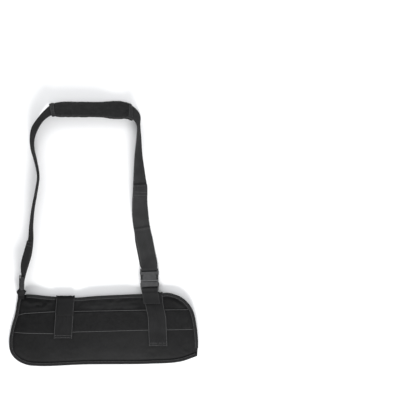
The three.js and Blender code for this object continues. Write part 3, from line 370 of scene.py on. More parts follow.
# %% Mesh helpers
def new_piece(name, points, faces, material, uv=None, smooth=True):
    mesh = bpy.data.meshes.new(name)
    mesh.from_pydata([tuple(p) for p in points], [], faces)
    mesh.materials.append(material)
    if uv is not None:
        layer = mesh.uv_layers.new(name="UVMap")
        vertex = np.zeros(len(mesh.loops), np.int32)
        mesh.loops.foreach_get("vertex_index", vertex)
        layer.data.foreach_set("uv", np.asarray(uv, np.float32)[vertex].ravel())
    mesh.shade_smooth() if smooth else mesh.shade_flat()
    mesh.validate()
    piece = bpy.data.objects.new(name, mesh)
    bpy.context.scene.collection.objects.link(piece)
    return piece


def register(piece, slot, *nodes):
    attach(piece, BODY)
    if nodes:
        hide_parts(*nodes)
    print(f"{piece.name}: {len(piece.data.polygons)} faces")
    return piece


def unit(vector):
    return vector / max(float(np.linalg.norm(vector)), 1e-12)


def ease(share):
    t = np.clip(share, 0, 1)
    return t * t * (3 - 2 * t)


def strip(name, frames, section, material):
    """Carries a closed section along frames of (centre, across, over). section(i) gives its loop
    of (u, v) places, the same number of them at each frame."""
    loops = [np.asarray(section(i), float) for i in range(len(frames))]
    count = len(loops[0])
    points, uv, travelled = [], [], 0.0
    for i, (centre, across, over) in enumerate(frames):
        if i:
            travelled += float(np.linalg.norm(centre - frames[i - 1][0]))
        for u, v in loops[i]:
            points.append(centre + u * across + v * over)
            uv.append((u, travelled))
    faces = []
    for i in range(len(frames) - 1):
        for j in range(count):
            k = (j + 1) % count
            faces.append((i * count + j, i * count + k, (i + 1) * count + k, (i + 1) * count + j))
    last = (len(frames) - 1) * count
    faces.append(tuple(range(count))[::-1])
    faces.append(tuple(range(last, last + count)))
    piece = new_piece(name, points, faces, material, uv)
    face_out(piece)
    return piece


def face_out(piece):
    work = bmesh.new()
    work.from_mesh(piece.data)
    bmesh.ops.recalc_face_normals(work, faces=work.faces)
    work.to_mesh(piece.data)
    work.free()


WEB_COLUMNS = 12


def web_section(width, thickness):
    """A woven strip's section: flat faces with round edges, from one edge to the other and back."""
    half, radius = width / 2, thickness / 2
    inner = np.linspace(-(half - radius), half - radius, WEB_COLUMNS)
    lower = [(u, -thickness / 2) for u in inner]
    upper = [(u, thickness / 2) for u in inner[::-1]]
    turn = [math.radians(a) for a in (-60, -20, 20, 60)]
    right = [(half - radius + radius * math.cos(a), thickness / 2 * math.sin(a)) for a in turn]
    left = [(-u, -v) for u, v in right]
    return lower + right + upper + left


# %% [markdown]
# ## Stitches
# A row of stitches is many short, round-ended threads that dip into the cloth at both ends.
# Each is a six-sided spindle. They are joined into one mesh for each seam.


# %% Stitch rows
STITCH_LENGTH = 2.6 * MM
STITCH_PITCH = 3.4 * MM
THREAD_WIDTH = 0.55 * MM
THICK_THREAD_WIDTH = 0.7 * MM
SPINDLE_SIDES = 6
SPINDLE = (
    # place along the stitch, girth as a share of the thread, and lift out of the cloth
    (0.0, 0.35, -0.4), (0.22, 1.0, 0.15), (0.5, 1.05, 0.35), (0.78, 1.0, 0.15), (1.0, 0.35, -0.4),
)


def resample(path, pitch):
    """Places at an even pitch along a polyline, with its normals."""
    points = np.array([p for p, _ in path])
    normals = np.array([n for _, n in path])
    steps = np.linalg.norm(np.diff(points, axis=0), axis=1)
    length = np.concatenate([[0], np.cumsum(steps)])
    count = max(2, int(length[-1] / pitch))
    wanted = np.linspace(0, length[-1], count + 1)
    even = np.stack([np.interp(wanted, length, points[:, k]) for k in range(3)], 1)
    facing = np.stack([np.interp(wanted, length, normals[:, k]) for k in range(3)], 1)
    return even, facing


def stitch_rows(name, paths, width=THREAD_WIDTH):
    """One mesh of stitches along several paths of (place, normal)."""
    points, faces = [], []
    for path in paths:
        places, facing = resample(path, STITCH_PITCH)
        for i in range(len(places) - 1):
            run = places[i + 1] - places[i]
            span = float(np.linalg.norm(run))
            run = unit(run)
            up = unit(facing[i] - run * float(facing[i] @ run))
            side = np.cross(run, up)
            start = places[i] + run * (span - STITCH_LENGTH * span / STITCH_PITCH) / 2
            base = len(points)
            for share, girth, lift in SPINDLE:
                along = run * STITCH_LENGTH * (span / STITCH_PITCH) * share
                middle = start + along + up * width * (0.25 + lift * 0.6)
                for k in range(SPINDLE_SIDES):
                    angle = math.tau * k / SPINDLE_SIDES
                    radius = girth * width / 2
                    points.append(middle + radius * (math.cos(angle) * side + math.sin(angle) * up))
            for first in range(base, base + SPINDLE_SIDES * (len(SPINDLE) - 1), SPINDLE_SIDES):
                for k in range(SPINDLE_SIDES):
                    a, b = first + k, first + (k + 1) % SPINDLE_SIDES
                    faces.append((a, b, b + SPINDLE_SIDES, a + SPINDLE_SIDES))
            end = base + SPINDLE_SIDES * (len(SPINDLE) - 1)
            faces.append(tuple(range(base, base + SPINDLE_SIDES))[::-1])
            faces.append(tuple(range(end, end + SPINDLE_SIDES)))
    piece = new_piece(name, points, faces, THREAD)
    face_out(piece)
    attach(piece, BODY)
    print(f"{name}: {len(faces)} faces")
    return piece


# %% [markdown]
# ## Smooth curves through a few points
# The pouch's outline and the strap's route are each a short table of places. A centripetal
# Catmull-Rom curve passes through all of them without loops or overshoot.


# %% Splines
class Spline:
    """A curve through points. power 0.5 is centripetal, 0 is uniform."""

    def __init__(self, points, power=0.5):
        self.points = np.array(points, float)
        first = 2 * self.points[0] - self.points[1]
        last = 2 * self.points[-1] - self.points[-2]
        self.padded = np.vstack([first, self.points, last])
        self.power = power

    def at(self, share):
        spans = len(self.points) - 1
        place = min(max(share, 0.0), 1.0) * spans
        i = min(int(place), spans - 1)
        t = place - i
        p0, p1, p2, p3 = self.padded[i : i + 4]
        sides = ((p0, p1), (p1, p2), (p2, p3))
        gaps = [max(float(np.linalg.norm(b - a)) ** self.power, 1e-9) for a, b in sides]
        d0, d1, d2 = gaps if self.power else (1, 1, 1)
        t1 = ((p1 - p0) / d0 - (p2 - p0) / (d0 + d1) + (p2 - p1) / d1) * d1
        t2 = ((p2 - p1) / d1 - (p3 - p1) / (d1 + d2) + (p3 - p2) / d2) * d1
        return p1 + t1 * t + (-3 * p1 + 3 * p2 - 2 * t1 - t2) * t**2 + (2 * p1 - 2 * p2 + t1 + t2) * t**3

    def run(self, share):
        step = 1e-4
        return unit(self.at(min(share + step, 1)) - self.at(max(share - step, 0)))

    def even(self, pitch):
        """Points at an even pitch along the curve."""
        fine = np.array([self.at(s) for s in np.linspace(0, 1, 60 * (len(self.points) - 1) + 1)])
        length = np.concatenate([[0], np.cumsum(np.linalg.norm(np.diff(fine, axis=0), axis=1))])
        wanted = np.linspace(0, length[-1], max(2, round(length[-1] / pitch)) + 1)
        return np.stack([np.interp(wanted, length, fine[:, k]) for k in range(fine.shape[1])], 1)


# %% [markdown]
# ## The pouch's plan
# Sewn shut along the elbow end and the bottom, open along the top and the hand's end. Each
# row is a place on the outline, as shares of the pouch's length and depth from its middle.

# %% Outline
POUCH_LENGTH = 457 * MM
POUCH_DEPTH = 176 * MM
SEAM_POINTS = (
    (-0.45, 0.475), (-0.459, 0.365), (-0.469, 0.206), (-0.488, 0.033), (-0.5, -0.16),
    (-0.493, -0.312), (-0.461, -0.416), (-0.408, -0.482), (-0.328, -0.5), (-0.1, -0.478),
    (0.246, -0.468), (0.406, -0.439), (0.497, -0.36),
)
MOUTH_POINTS = (
    (0.497, -0.36), (0.5, -0.202), (0.493, 0.019), (0.475, 0.24), (0.448, 0.358),
    (0.406, 0.447), (0.342, 0.5), (0.294, 0.489), (0.14, 0.478), (-0.046, 0.454),
    (-0.147, 0.434), (-0.286, 0.452), (-0.392, 0.478), (-0.45, 0.475),
)
OUTLINE_PITCH = 3 * MM


def plan_curve(rows):
    return Spline([(along * POUCH_LENGTH, up * POUCH_DEPTH, 0) for along, up in rows]).even(OUTLINE_PITCH)


seam_edge = plan_curve(SEAM_POINTS)
mouth_edge = plan_curve(MOUTH_POINTS)
outline = np.vstack([seam_edge[:-1], mouth_edge[:-1]])


def distance_to(edge, points):
    """Distance in plan from each point to a polyline."""
    a, b = edge[:-1, :2], edge[1:, :2]
    run = b - a
    best = np.full(len(points), 1e9)
    for start, step in zip(a, run):
        rel = points[:, :2] - start
        t = np.clip(rel @ step / (step @ step), 0, 1)
        best = np.minimum(best, np.linalg.norm(rel - t[:, None] * step, axis=1))
    return best


def rim_at(x):
    top = mouth_edge[mouth_edge[:, 1] > 0]
    order = np.argsort(top[:, 0])
    return float(np.interp(x, top[order, 0], top[order, 1]))


print("outline points:", len(outline))

# %% [markdown]
# ## How high the two panels lie
# The back panel lies on the table. The front one climbs from the seam, lies level, and droops
# at its rim, lower under each closure tab. Both are pressed thin at the edge by the binding.

# %% Panel levels
CLEARANCE = 0.35 * MM
PANEL_THICKNESS = 3 * MM
PANEL_MARGIN_THICKNESS = 1.2 * MM
CAVITY_HEIGHT = 12 * MM
MOUTH_HEIGHT = 10 * MM
TAB_MOUTH_HEIGHT = 6 * MM
SEAM_RISE = 30 * MM
RIM_DROOP = 30 * MM
BINDING_WIDTH = 7.5 * MM
BINDING_THICKNESS = 0.8 * MM
MARGIN = BINDING_WIDTH + 2.5 * MM
BACK_MARGIN_LEVEL = BINDING_THICKNESS + CLEARANCE
SEAM_LEVEL = BACK_MARGIN_LEVEL + PANEL_MARGIN_THICKNESS + CLEARANCE
TAB_WIDTH = 45 * MM
LEFT_TAB_ALONG = -0.202
RIGHT_TAB_ALONG = 0.264


def mouth_height(points):
    apart = np.minimum(*[np.abs(points[:, 0] - a * POUCH_LENGTH) for a in (LEFT_TAB_ALONG, RIGHT_TAB_ALONG)])
    drawn = TAB_MOUTH_HEIGHT + (MOUTH_HEIGHT - TAB_MOUTH_HEIGHT) * ease((apart - 0.6 * TAB_WIDTH) / TAB_WIDTH)
    return np.where(points[:, 1] < 0, MOUTH_HEIGHT, drawn)


def front_level(points):
    from_seam = (distance_to(seam_edge, points) - MARGIN) / SEAM_RISE
    from_mouth = (distance_to(mouth_edge, points) - MARGIN) / RIM_DROOP
    rim = PANEL_THICKNESS + mouth_height(points)
    full = rim + (PANEL_THICKNESS + CAVITY_HEIGHT - rim) * ease(from_mouth)
    return SEAM_LEVEL + (full - SEAM_LEVEL) * np.sin(math.pi / 2 * np.clip(from_seam, 0, 1))


def from_edge(points):
    """Distance in plan from the nearest edge of the pouch."""
    return np.minimum(distance_to(seam_edge, points), distance_to(mouth_edge, points))


def panel_body(points):
    return ease((from_edge(points) - MARGIN) / (2 * PANEL_THICKNESS))


def panel_thickness(points):
    return PANEL_MARGIN_THICKNESS + (PANEL_THICKNESS - PANEL_MARGIN_THICKNESS) * panel_body(points)


def back_level(points):
    return BACK_MARGIN_LEVEL * (1 - panel_body(points))


# %% [markdown]
# ## Cutting a panel
# The cloth is cut by triangulating the outline with an even grid inside it. A grid of small,
# even triangles folds in every direction alike, which long thin faces don't.

# %% Cloth grid
CLOTH_PITCH = 3 * MM


def cut_cloth():
    reach = POUCH_LENGTH / 2
    xs = np.arange(-reach, reach, CLOTH_PITCH)
    ys = np.arange(-POUCH_DEPTH / 2, POUCH_DEPTH / 2, CLOTH_PITCH * math.sqrt(3) / 2)
    grid = np.array([(x + (j % 2) * CLOTH_PITCH / 2, y, 0) for j, y in enumerate(ys) for x in xs])
    grid = grid[from_edge(grid) > 0.6 * CLOTH_PITCH]
    points = [Vector(p[:2]) for p in np.vstack([outline, grid])]
    ring = [(i, (i + 1) % len(outline)) for i in range(len(outline))]
    placed, _, faces, *_ = delaunay_2d_cdt(points, ring, [], 1, 1e-6)
    return np.array([(p.x, p.y, 0) for p in placed]), [tuple(f) for f in faces]


cloth_points, cloth_faces = cut_cloth()
print("cloth grid:", len(cloth_points), "points,", len(cloth_faces), "triangles")

# %% [markdown]
# ## Settling the cloth
# A real panel is never flat: it is sewn down along its edges and its band, and the cloth
# between is a little longer than the gap that it spans, so it swells a little. The simulation
# does just that. Sewn points are pinned, the rest grows by a small share, more where the
# photographed cloth is slack, a slight pressure lifts it, and what comes out is kept within a
# few millimetres.

# %% Slack in the front panel
PANEL_SLACK = 0.022
PANEL_CAP = 2.6 * MM
PANEL_PRESSURE = 2.0
PANEL_MASS = 0.02
SETTLE_FRAMES = 22
SETTLE_QUALITY = 6
STRETCH_STIFFNESS = 20
SHEAR_STIFFNESS = 8
BENDING_STIFFNESS = 0.6
HOLD_FADE = 4 * MM
BAND_HOLD = 2.2 * MM
SLACK_SPOTS = (
    # centre x, centre y and reach in mm, and how slack the cloth is there
    (-155, 66, 62, 1.0),
    (10, 70, 95, 0.75),
    (60, 66, 70, 0.6),
    (195, 62, 42, 0.9),
    (205, -60, 40, 0.7),
    (-195, -40, 45, 0.6),
    (-40, -50, 130, 0.28),
    (110, -50, 90, 0.3),
)
BAND_ROWS = (
    # along, upper and lower, as shares of the pouch's length and depth
    (-0.5, 0.165, -0.04),
    (-0.42, 0.228, -0.052),
    (-0.27, 0.252, -0.06),
    (-0.147, 0.257, -0.036),
    (0.215, 0.275, -0.011),
    (0.5, 0.282, 0.0),
)


def band_edge(x, column):
    table = np.array(BAND_ROWS)
    return np.interp(x / POUCH_LENGTH, table[:, 0], table[:, column]) * POUCH_DEPTH


def slack_of(points):
    slack = np.zeros(len(points))
    for x, y, reach, amount in SLACK_SPOTS:
        apart = np.hypot(points[:, 0] - x * MM, points[:, 1] - y * MM) / (reach * MM)
        slack = np.maximum(slack, amount * np.exp(-(apart**2)))
    return slack


def sewn(points):
    """Where the panel is held: at its edges and along both seams of the band."""
    held = 1 - ease((from_edge(points) - MARGIN) / HOLD_FADE)
    for column in (1, 2):
        apart = np.abs(points[:, 1] - band_edge(points[:, 0], column))
        held = np.maximum(held, np.where(apart < BAND_HOLD, 1.0, 0.0))
    return held


def settle(piece, held, slack, amount, cap, pressure, mass):
    """Runs the cloth with its sewn points pinned, and keeps how far each point may move."""
    rest = np.array([v.co for v in piece.data.vertices])
    pins = piece.vertex_groups.new(name="sewn")
    taut = piece.vertex_groups.new(name="taut")
    for i, (h, s) in enumerate(zip(held, slack)):
        if h > 0.01:
            pins.add([i], float(h), "REPLACE")
        taut.add([i], float(1 - s), "REPLACE")
    cloth = piece.modifiers.new("settling", "CLOTH")
    cloth.settings.quality = SETTLE_QUALITY
    cloth.settings.mass = mass
    cloth.settings.use_pressure = True
    cloth.settings.uniform_pressure_force = pressure
    cloth.settings.tension_stiffness = STRETCH_STIFFNESS
    cloth.settings.compression_stiffness = STRETCH_STIFFNESS
    cloth.settings.shear_stiffness = SHEAR_STIFFNESS
    cloth.settings.bending_stiffness = BENDING_STIFFNESS
    cloth.settings.vertex_group_mass = "sewn"
    cloth.settings.vertex_group_shrink = "taut"
    cloth.settings.shrink_min = -amount
    cloth.settings.shrink_max = 0.0
    cloth.settings.effector_weights.gravity = 0.0
    cloth.point_cache.frame_start = 1
    cloth.point_cache.frame_end = SETTLE_FRAMES
    for step in range(1, SETTLE_FRAMES + 1):
        bpy.context.scene.frame_set(step)
    shown = piece.evaluated_get(bpy.context.evaluated_depsgraph_get())
    moved = np.array([v.co for v in shown.data.vertices]) - rest
    piece.modifiers.remove(cloth)
    bpy.context.scene.frame_set(1)
    far = np.linalg.norm(moved, axis=1)
    most, mean = far.max() / MM, far.mean() / MM
    print(f"{piece.name}: the cloth moved by up to {most:.1f} mm, {mean:.1f} mm on average")
    soft = cap * np.tanh(far / cap) / np.maximum(far, 1e-9)
    return rest + moved * soft[:, None]


# %% [markdown]
# A fold that the photograph shows in one place isn't left to the simulation. `FOLDS` lists
# such ones by their two ends: the ripples by the elbow seam, the long creases under the rim
# and the slanting ones at the hand's corner.

# %% Listed folds
FOLD_STRENGTH = 1.6
FOLDS = (
    # start x, start y, end x, end y, width and height in mm
    (-196, 72, -168, 60, 3.2, 1.5),
    (-190, 60, -150, 66, 3.0, 1.3),
    (-176, 70, -140, 58, 3.0, 1.5),
    (-168, 52, -128, 56, 3.2, 1.3),
    (-150, 72, -122, 64, 2.8, 1.3),
    (-146, 52, -128, 70, 3.0, 1.1),
    (-200, 56, -192, 30, 3.2, 1.2),
    (-204, 40, -208, 0, 3.0, 1.0),
    (-212, -8, -206, -44, 3.0, 1.1),
    (-200, -4, -196, -40, 3.2, 0.8),
    (-205, -50, -176, -74, 3.0, 1.0),
    (-66, 66, -20, 68, 2.6, 1.0),
    (-56, 56, 10, 60, 2.8, 0.9),
    (-30, 70, 40, 72, 2.4, 0.9),
    (0, 64, 70, 66, 2.6, 1.1),
    (20, 57, 92, 60, 2.6, 0.8),
    (50, 72, 98, 73, 2.4, 0.9),
    (168, 74, 186, 56, 3.0, 1.5),
    (178, 76, 198, 54, 2.8, 1.3),
    (186, 66, 204, 48, 2.8, 1.1),
    (160, 62, 176, 72, 2.6, 0.9),
    (190, -50, 214, -58, 2.8, 1.4),
    (184, -58, 208, -66, 2.8, 1.2),
    (176, -64, 200, -70, 2.6, 0.9),
    (-80, -62, -20, -70, 4.5, 0.6),
    (90, -60, 150, -66, 4.5, 0.6),
)


def folds_at(points):
    """Height of the placed folds: a ridge with a shallow valley beside it."""
    height = np.zeros(len(points))
    for x0, y0, x1, y1, width, tall in FOLDS:
        start = np.array((x0, y0)) * MM
        run = np.array((x1, y1)) * MM - start
        rel = points[:, :2] - start
        t = np.clip(rel @ run / (run @ run), 0, 1)
        side = rel - t[:, None] * run
        apart = np.linalg.norm(side, axis=1) / (width * MM)
        fade = np.sin(math.pi * np.clip(0.08 + 0.84 * t, 0, 1))
        height += FOLD_STRENGTH * tall * MM * fade * (1 - 0.5 * apart**2) * np.exp(-0.5 * apart**2)
    return height


# %% Padded panels
def waves(points, size, seed):
    """Soft, even unevenness between -1 and 1."""
    offset = Vector((seed * 7.3, seed * 3.1, seed * 1.7))
    return np.array([noise.noise(Vector(p) / size + offset) for p in points])


def thicken(middle, faces, thickness):
    """Two faces of a cloth, a thickness apart, joined round the outline."""
    count = len(middle)
    normal = np.zeros((count, 3))
    a, b, c = (middle[[f[k] for f in faces]] for k in range(3))
    lean = np.cross(b - a, c - a)
    for k in range(3):
        np.add.at(normal, [f[k] for f in faces], lean)
    normal /= np.maximum(np.linalg.norm(normal, axis=1), 1e-12)[:, None]
    above = middle + normal * thickness[:, None] / 2
    below = middle - normal * thickness[:, None] / 2
    uses = {}
    for f in faces:
        for k in range(3):
            edge = (f[k], f[(k + 1) % 3])
            uses[edge] = uses.get(edge, 0) + 1
    rim = [(p, q) for p, q in uses if (q, p) not in uses]
    walls = [(p + count, q + count, q, p) for p, q in rim]
    under = [(f[0] + count, f[2] + count, f[1] + count) for f in faces]
    return np.vstack([above, below]), list(faces) + under + walls


UP = np.array((0, 0, 1.0))
RIPPLE_SIZE = 16 * MM
RIPPLE_HEIGHT = 0.5 * MM


def panel_middle(level):
    """The cloth's middle surface, with its lower face at that level."""
    return cloth_points + UP * (level + panel_thickness(cloth_points) / 2)[:, None]


def padded_cloth(name, middle):
    points, faces = thicken(middle, cloth_faces, panel_thickness(cloth_points))
    return new_piece(name, points, faces, KNIT)


def front_cloth():
    middle = panel_middle(front_level(cloth_points))
    held = sewn(cloth_points)
    trial = new_piece("front_trial", middle, cloth_faces, KNIT)
    slack = slack_of(cloth_points)
    middle = settle(trial, held, slack, PANEL_SLACK, PANEL_CAP, PANEL_PRESSURE, PANEL_MASS)
    bpy.data.objects.remove(trial)
    body = panel_body(cloth_points)
    middle[:, 2] += body * (0.35 + 0.65 * (1 - held)) * folds_at(cloth_points)
    middle[:, 2] += body * (1 - held) * RIPPLE_HEIGHT * waves(cloth_points, RIPPLE_SIZE, 1)
    return padded_cloth("front_cloth", middle)


front = register(front_cloth(), "padded_fabric", "front_panel")
back_middle = panel_middle(back_level(cloth_points))
back = register(padded_cloth("back_cloth", back_middle), "padded_fabric", "back_panel")


# %% [markdown]
# ## Resting one piece on another
# Whatever lies on the pouch takes its height from what is below it. A ray is sent down at
# each place, and the highest hit nearby is where the new piece can lie.


# %% Height below a place
def surfaces(*pieces):
    found = []
    for piece in pieces:
        points = [piece.matrix_world @ v.co for v in piece.data.vertices]
        found.append(BVHTree.FromPolygons(points, [tuple(p.vertices) for p in piece.data.polygons]))
    return found


def top_at(trees, x, y):
    best = 0.0
    for tree in trees:
        hit = tree.ray_cast(Vector((x, y, 0.2)), Vector((0, 0, -1)))[0]
        if hit is not None:
            best = max(best, hit.z)
    return best


def span_at(trees, x, y):
    """Lowest and highest place of some pieces at a point of the plan."""
    low, high = 1e9, -1e9
    for tree in trees:
        for start, way in ((0.2, -1), (-0.2, 1)):
            hit = tree.ray_cast(Vector((x, y, start)), Vector((0, 0, way)))[0]
            if hit is not None:
                low, high = min(low, hit.z), max(high, hit.z)
    return low, high


# %% [markdown]
# ## Binding tape
# A ribbed tape is folded round each raw edge and sewn through. Its section is a flat C with a
# round fold. It takes its height from the panels that it wraps, and is pulled in a little at
# every stitch.

# %% Bindings
BINDING_PUCKER = 0.12 * MM
BINDING_STITCH_PLACE = 0.78 * BINDING_WIDTH
FOLD_SIDES = 7


def smoothed(values, reach):
    """Each value as the mean of its neighbours, this many on each side."""
    return np.convolve(np.pad(values, reach, mode="edge"), np.ones(2 * reach + 1) / (2 * reach + 1), "valid")


def outward_at(edge, i):
    run = edge[min(i + 1, len(edge) - 1)] - edge[max(i - 1, 0)]
    return unit(np.array((run[1], -run[0], 0.0)))


def folded_tape(name, edge, wrapped, slack, material):
    """Returns the tape and the paths of its two stitch rows, above and below."""
    trees = surfaces(*wrapped)
    spans = []
    for i in range(len(edge)):
        across = outward_at(edge, i)
        near = edge[min(max(i, 1), len(edge) - 2)]
        rim_place = near - 0.8 * MM * across
        inner_place = near - BINDING_WIDTH * across
        spans.append(span_at(trees, *rim_place[:2]) + span_at(trees, *inner_place[:2]))
    table = np.array(spans)
    for k in range(4):
        table[:, k] = smoothed(table[:, k], 2)
    gap = CLEARANCE + slack
    frames = [(np.array((x, y, 0.0)), outward_at(edge, i), UP) for i, (x, y, _) in enumerate(edge)]

    def section(i):
        rim_low, rim_high, low, high = table[i]
        pucker = BINDING_PUCKER * math.sin(math.tau * i * OUTLINE_PITCH / STITCH_PITCH * 0.5)
        th = BINDING_THICKNESS
        shares = np.linspace(0, 1, 5)
        top = [(-BINDING_WIDTH * (1 - s), high + (rim_high - high) * s + gap + th
                + pucker * math.sin(math.pi * s) - 0.25 * th * (1 - s) ** 6) for s in shares[:-1]]
        bottom = [(-BINDING_WIDTH * (1 - s), low + (rim_low - low) * s - gap - th) for s in shares[:-1]]
        middle, half = (rim_high + rim_low) / 2, (rim_high - rim_low) / 2 + gap + th
        fold = []
        for angle in np.radians(np.linspace(90, -90, FOLD_SIDES)):
            reach = (CLEARANCE + th) * math.cos(angle) ** 0.7 if math.cos(angle) > 1e-6 else 0.0
            fold.append((reach, middle + half * math.sin(angle)))
        inside = [
            (-BINDING_WIDTH, low - gap), (-0.5 * BINDING_WIDTH, (low + rim_low) / 2 - gap),
            (CLEARANCE * 0.4, middle - half + th), (CLEARANCE, middle), (CLEARANCE * 0.4, middle + half - th),
            (-0.5 * BINDING_WIDTH, (high + rim_high) / 2 + gap), (-BINDING_WIDTH, high + gap),
        ]
        return top + fold + bottom[::-1] + inside

    piece = strip(name, frames, section, material)
    above, below = [], []
    share = 1 - BINDING_STITCH_PLACE / BINDING_WIDTH
    for (centre, across, _), row in list(zip(frames, table))[1:-1]:
        rim_low, rim_high, low, high = row
        place = centre - BINDING_STITCH_PLACE * across
        above.append((place + UP * (high + (rim_high - high) * share + gap + BINDING_THICKNESS), UP))
        below.append((place + UP * (low + (rim_low - low) * share - gap - BINDING_THICKNESS), -UP))
    return piece, [above, below]


BINDING_SLACK = 0.3 * MM
rim_start = MARGIN + 0.25 * SEAM_RISE
open_rim = mouth_edge[distance_to(seam_edge, mouth_edge) > rim_start]
seam_tape, seam_rows = folded_tape("seam_tape", seam_edge, (back, front), 0, SEAM_TAPE)
back_tape, back_rows = folded_tape("back_rim_tape", open_rim, (back,), 0, RIM_TAPE)
front_tape, front_rows = folded_tape("front_rim_tape", open_rim, (front,), BINDING_SLACK, RIM_TAPE)
register(seam_tape, "binding_tape", "seam_binding")
register(back_tape, "binding_tape", "back_rim_binding")
register(front_tape, "binding_tape", "front_rim_binding")
binding_stitches = stitch_rows("binding_stitches", [seam_rows[0], *back_rows, *front_rows])

# %% [markdown]
# ## The loop band
# A strip of loop pile is sewn along the front so that a hook patch can hold anywhere on it.
# It lies on the panel's folds, and its two edges are narrow woven selvedges, each held by a
# row of stitches. The selvedges are painted lighter than the pile, a painted highlight for the
# light that their edges catch.

# %% Loop band
BAND_THICKNESS = 1.2 * MM
BAND_COLUMNS = 260
BAND_LINES = 22
SELVEDGE = 2.0 * MM
SELVEDGE_THICKNESS = 0.8 * BAND_THICKNESS
SELVEDGE_LINES = 5


def end_of(edge, side, y):
    part = edge[side * edge[:, 0] > 0.4 * POUCH_LENGTH]
    part = part[np.argsort(part[:, 1])]
    return float(np.interp(y, part[:, 1], part[:, 0]))


def smooth_rows(table, times):
    for _ in range(times):
        padded = np.pad(table, 1, mode="edge")
        table = (padded[:-2, 1:-1] + padded[2:, 1:-1] + padded[1:-1, :-2] + padded[1:-1, 2:] + 2 * table) / 6
    return table


def draped_sheet(name, places, thickness, material):
    """A sheet over a grid of plan places, resting on the front panel. Returns it and its top."""
    trees = surfaces(front)
    rows, columns = places.shape[:2]
    level = np.array([[top_at(trees, *places[i, j, :2]) for j in range(columns)] for i in range(rows)])
    level = np.maximum(smooth_rows(level, 6), level - 0.1 * MM) + CLEARANCE
    edge = np.minimum(np.arange(columns), np.arange(columns)[::-1])
    rounding = np.where(edge == 0, 0.35, np.where(edge == 1, 0.85, 1.0))
    top = places.copy()
    top[:, :, 2] = level + thickness * rounding[None, :]
    bottom = places.copy()
    bottom[:, :, 2] = level
    points = np.vstack([top.reshape(-1, 3), bottom.reshape(-1, 3)])
    count = rows * columns
    faces = []
    for i in range(rows - 1):
        for j in range(columns - 1):
            a = i * columns + j
            faces.append((a, a + 1, a + columns + 1, a + columns))
            faces.append(tuple(p + count for p in (a, a + columns, a + columns + 1, a + 1)))
    loop = list(range(columns)) + [i * columns + columns - 1 for i in range(1, rows)]
    loop += [(rows - 1) * columns + j for j in range(columns - 2, -1, -1)]
    loop += [i * columns for i in range(rows - 2, 0, -1)]
    for p, q in zip(loop, loop[1:] + loop[:1]):
        faces.append((p, q, q + count, p + count))
    piece = new_piece(name, points, faces, material)
    face_out(piece)
    return piece, top


def band_places(low_share, high_share, lines):
    """Plan places of a strip of the band, between two shares of the band's own height."""
    ends = BINDING_WIDTH + 2 * MM
    places = np.zeros((BAND_COLUMNS, lines, 3))
    for i, share in enumerate(np.linspace(0, 1, BAND_COLUMNS)):
        for j, height in enumerate(np.linspace(low_share, high_share, lines)):
            def row(x):
                return float(band_edge(x, 2) + (band_edge(x, 1) - band_edge(x, 2)) * height)

            left = end_of(seam_edge, -1, row(-POUCH_LENGTH / 2)) + ends
            right = end_of(mouth_edge, 1, row(POUCH_LENGTH / 2)) - ends
            x = left + (right - left) * share
            places[i, j] = (x, row(x), 0)
    return places


band_height = 0.29 * POUCH_DEPTH
edge_share = SELVEDGE / band_height
pile_places = band_places(edge_share, 1 - edge_share, BAND_LINES)
lower_places = band_places(0, edge_share * 0.9, SELVEDGE_LINES)
upper_places = band_places(1 - edge_share * 0.9, 1, SELVEDGE_LINES)
band, _ = draped_sheet("loop_band_cloth", pile_places, BAND_THICKNESS, PILE)
register(band, "loop_pile", "loop_band")
lower_edge, lower_top = draped_sheet("band_lower_edge", lower_places, SELVEDGE_THICKNESS, SELVEDGE_PAINTED_HIGHLIGHT)
upper_edge, upper_top = draped_sheet("band_upper_edge", upper_places, SELVEDGE_THICKNESS, SELVEDGE_PAINTED_HIGHLIGHT)
band_rows = [[(place, UP) for place in top[:, SELVEDGE_LINES // 2]] for top in (lower_top, upper_top)]
band_stitches = stitch_rows("band_stitches", band_rows, width=THICK_THREAD_WIDTH)
for piece in (lower_edge, upper_edge, band_stitches):
    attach(piece, BODY)

# %% [markdown]
# ## The strap's route
# The strap lies on its edge or rolled, as stiff webbing does when it is laid in a loop. Each
# row of the route says where it is and how far it is rolled. The places are those of the
# frame's solid, so the fine strap fits the buckle, the pad and the adjuster, and its rolls are
# trued by a few degrees to the photographed widths.

# %% Strap route
WEBBING_WIDTH = 40 * MM
WEBBING_THICKNESS = 1.6 * MM
STRAP_REACH = 450 * MM
BUCKLE_RISE = 60.5 * MM
ADJUSTER_RISE = 40.5 * MM
BUCKLE_TAIL = 211 * MM
ADJUSTER_TAIL = 92 * MM
LAYERS_MEET = 1.1 * WEBBING_WIDTH
PAD_LENGTH = 200 * MM
PAD_WIDTH = 50 * MM
PAD_THICKNESS = 14 * MM
PAD_HEM = 10 * MM
BAR_RADIUS = 2.2 * MM
BUCKLE_LIFT = 2.4 * MM
LOCK_BAR_SPACING = 12 * MM
LOCK_RAIL = 2.6 * MM
LIFT_ROWS = 1.8
LOCK_ROWS = 2
PAD_MIDDLE_ROW = 15.42
ADJUSTER_ALONG = -0.432
BUCKLE_ALONG = 0.2425
PITCH = WEBBING_THICKNESS + CLEARANCE
LOOP_RADIUS = BAR_RADIUS + CLEARANCE + WEBBING_THICKNESS / 2
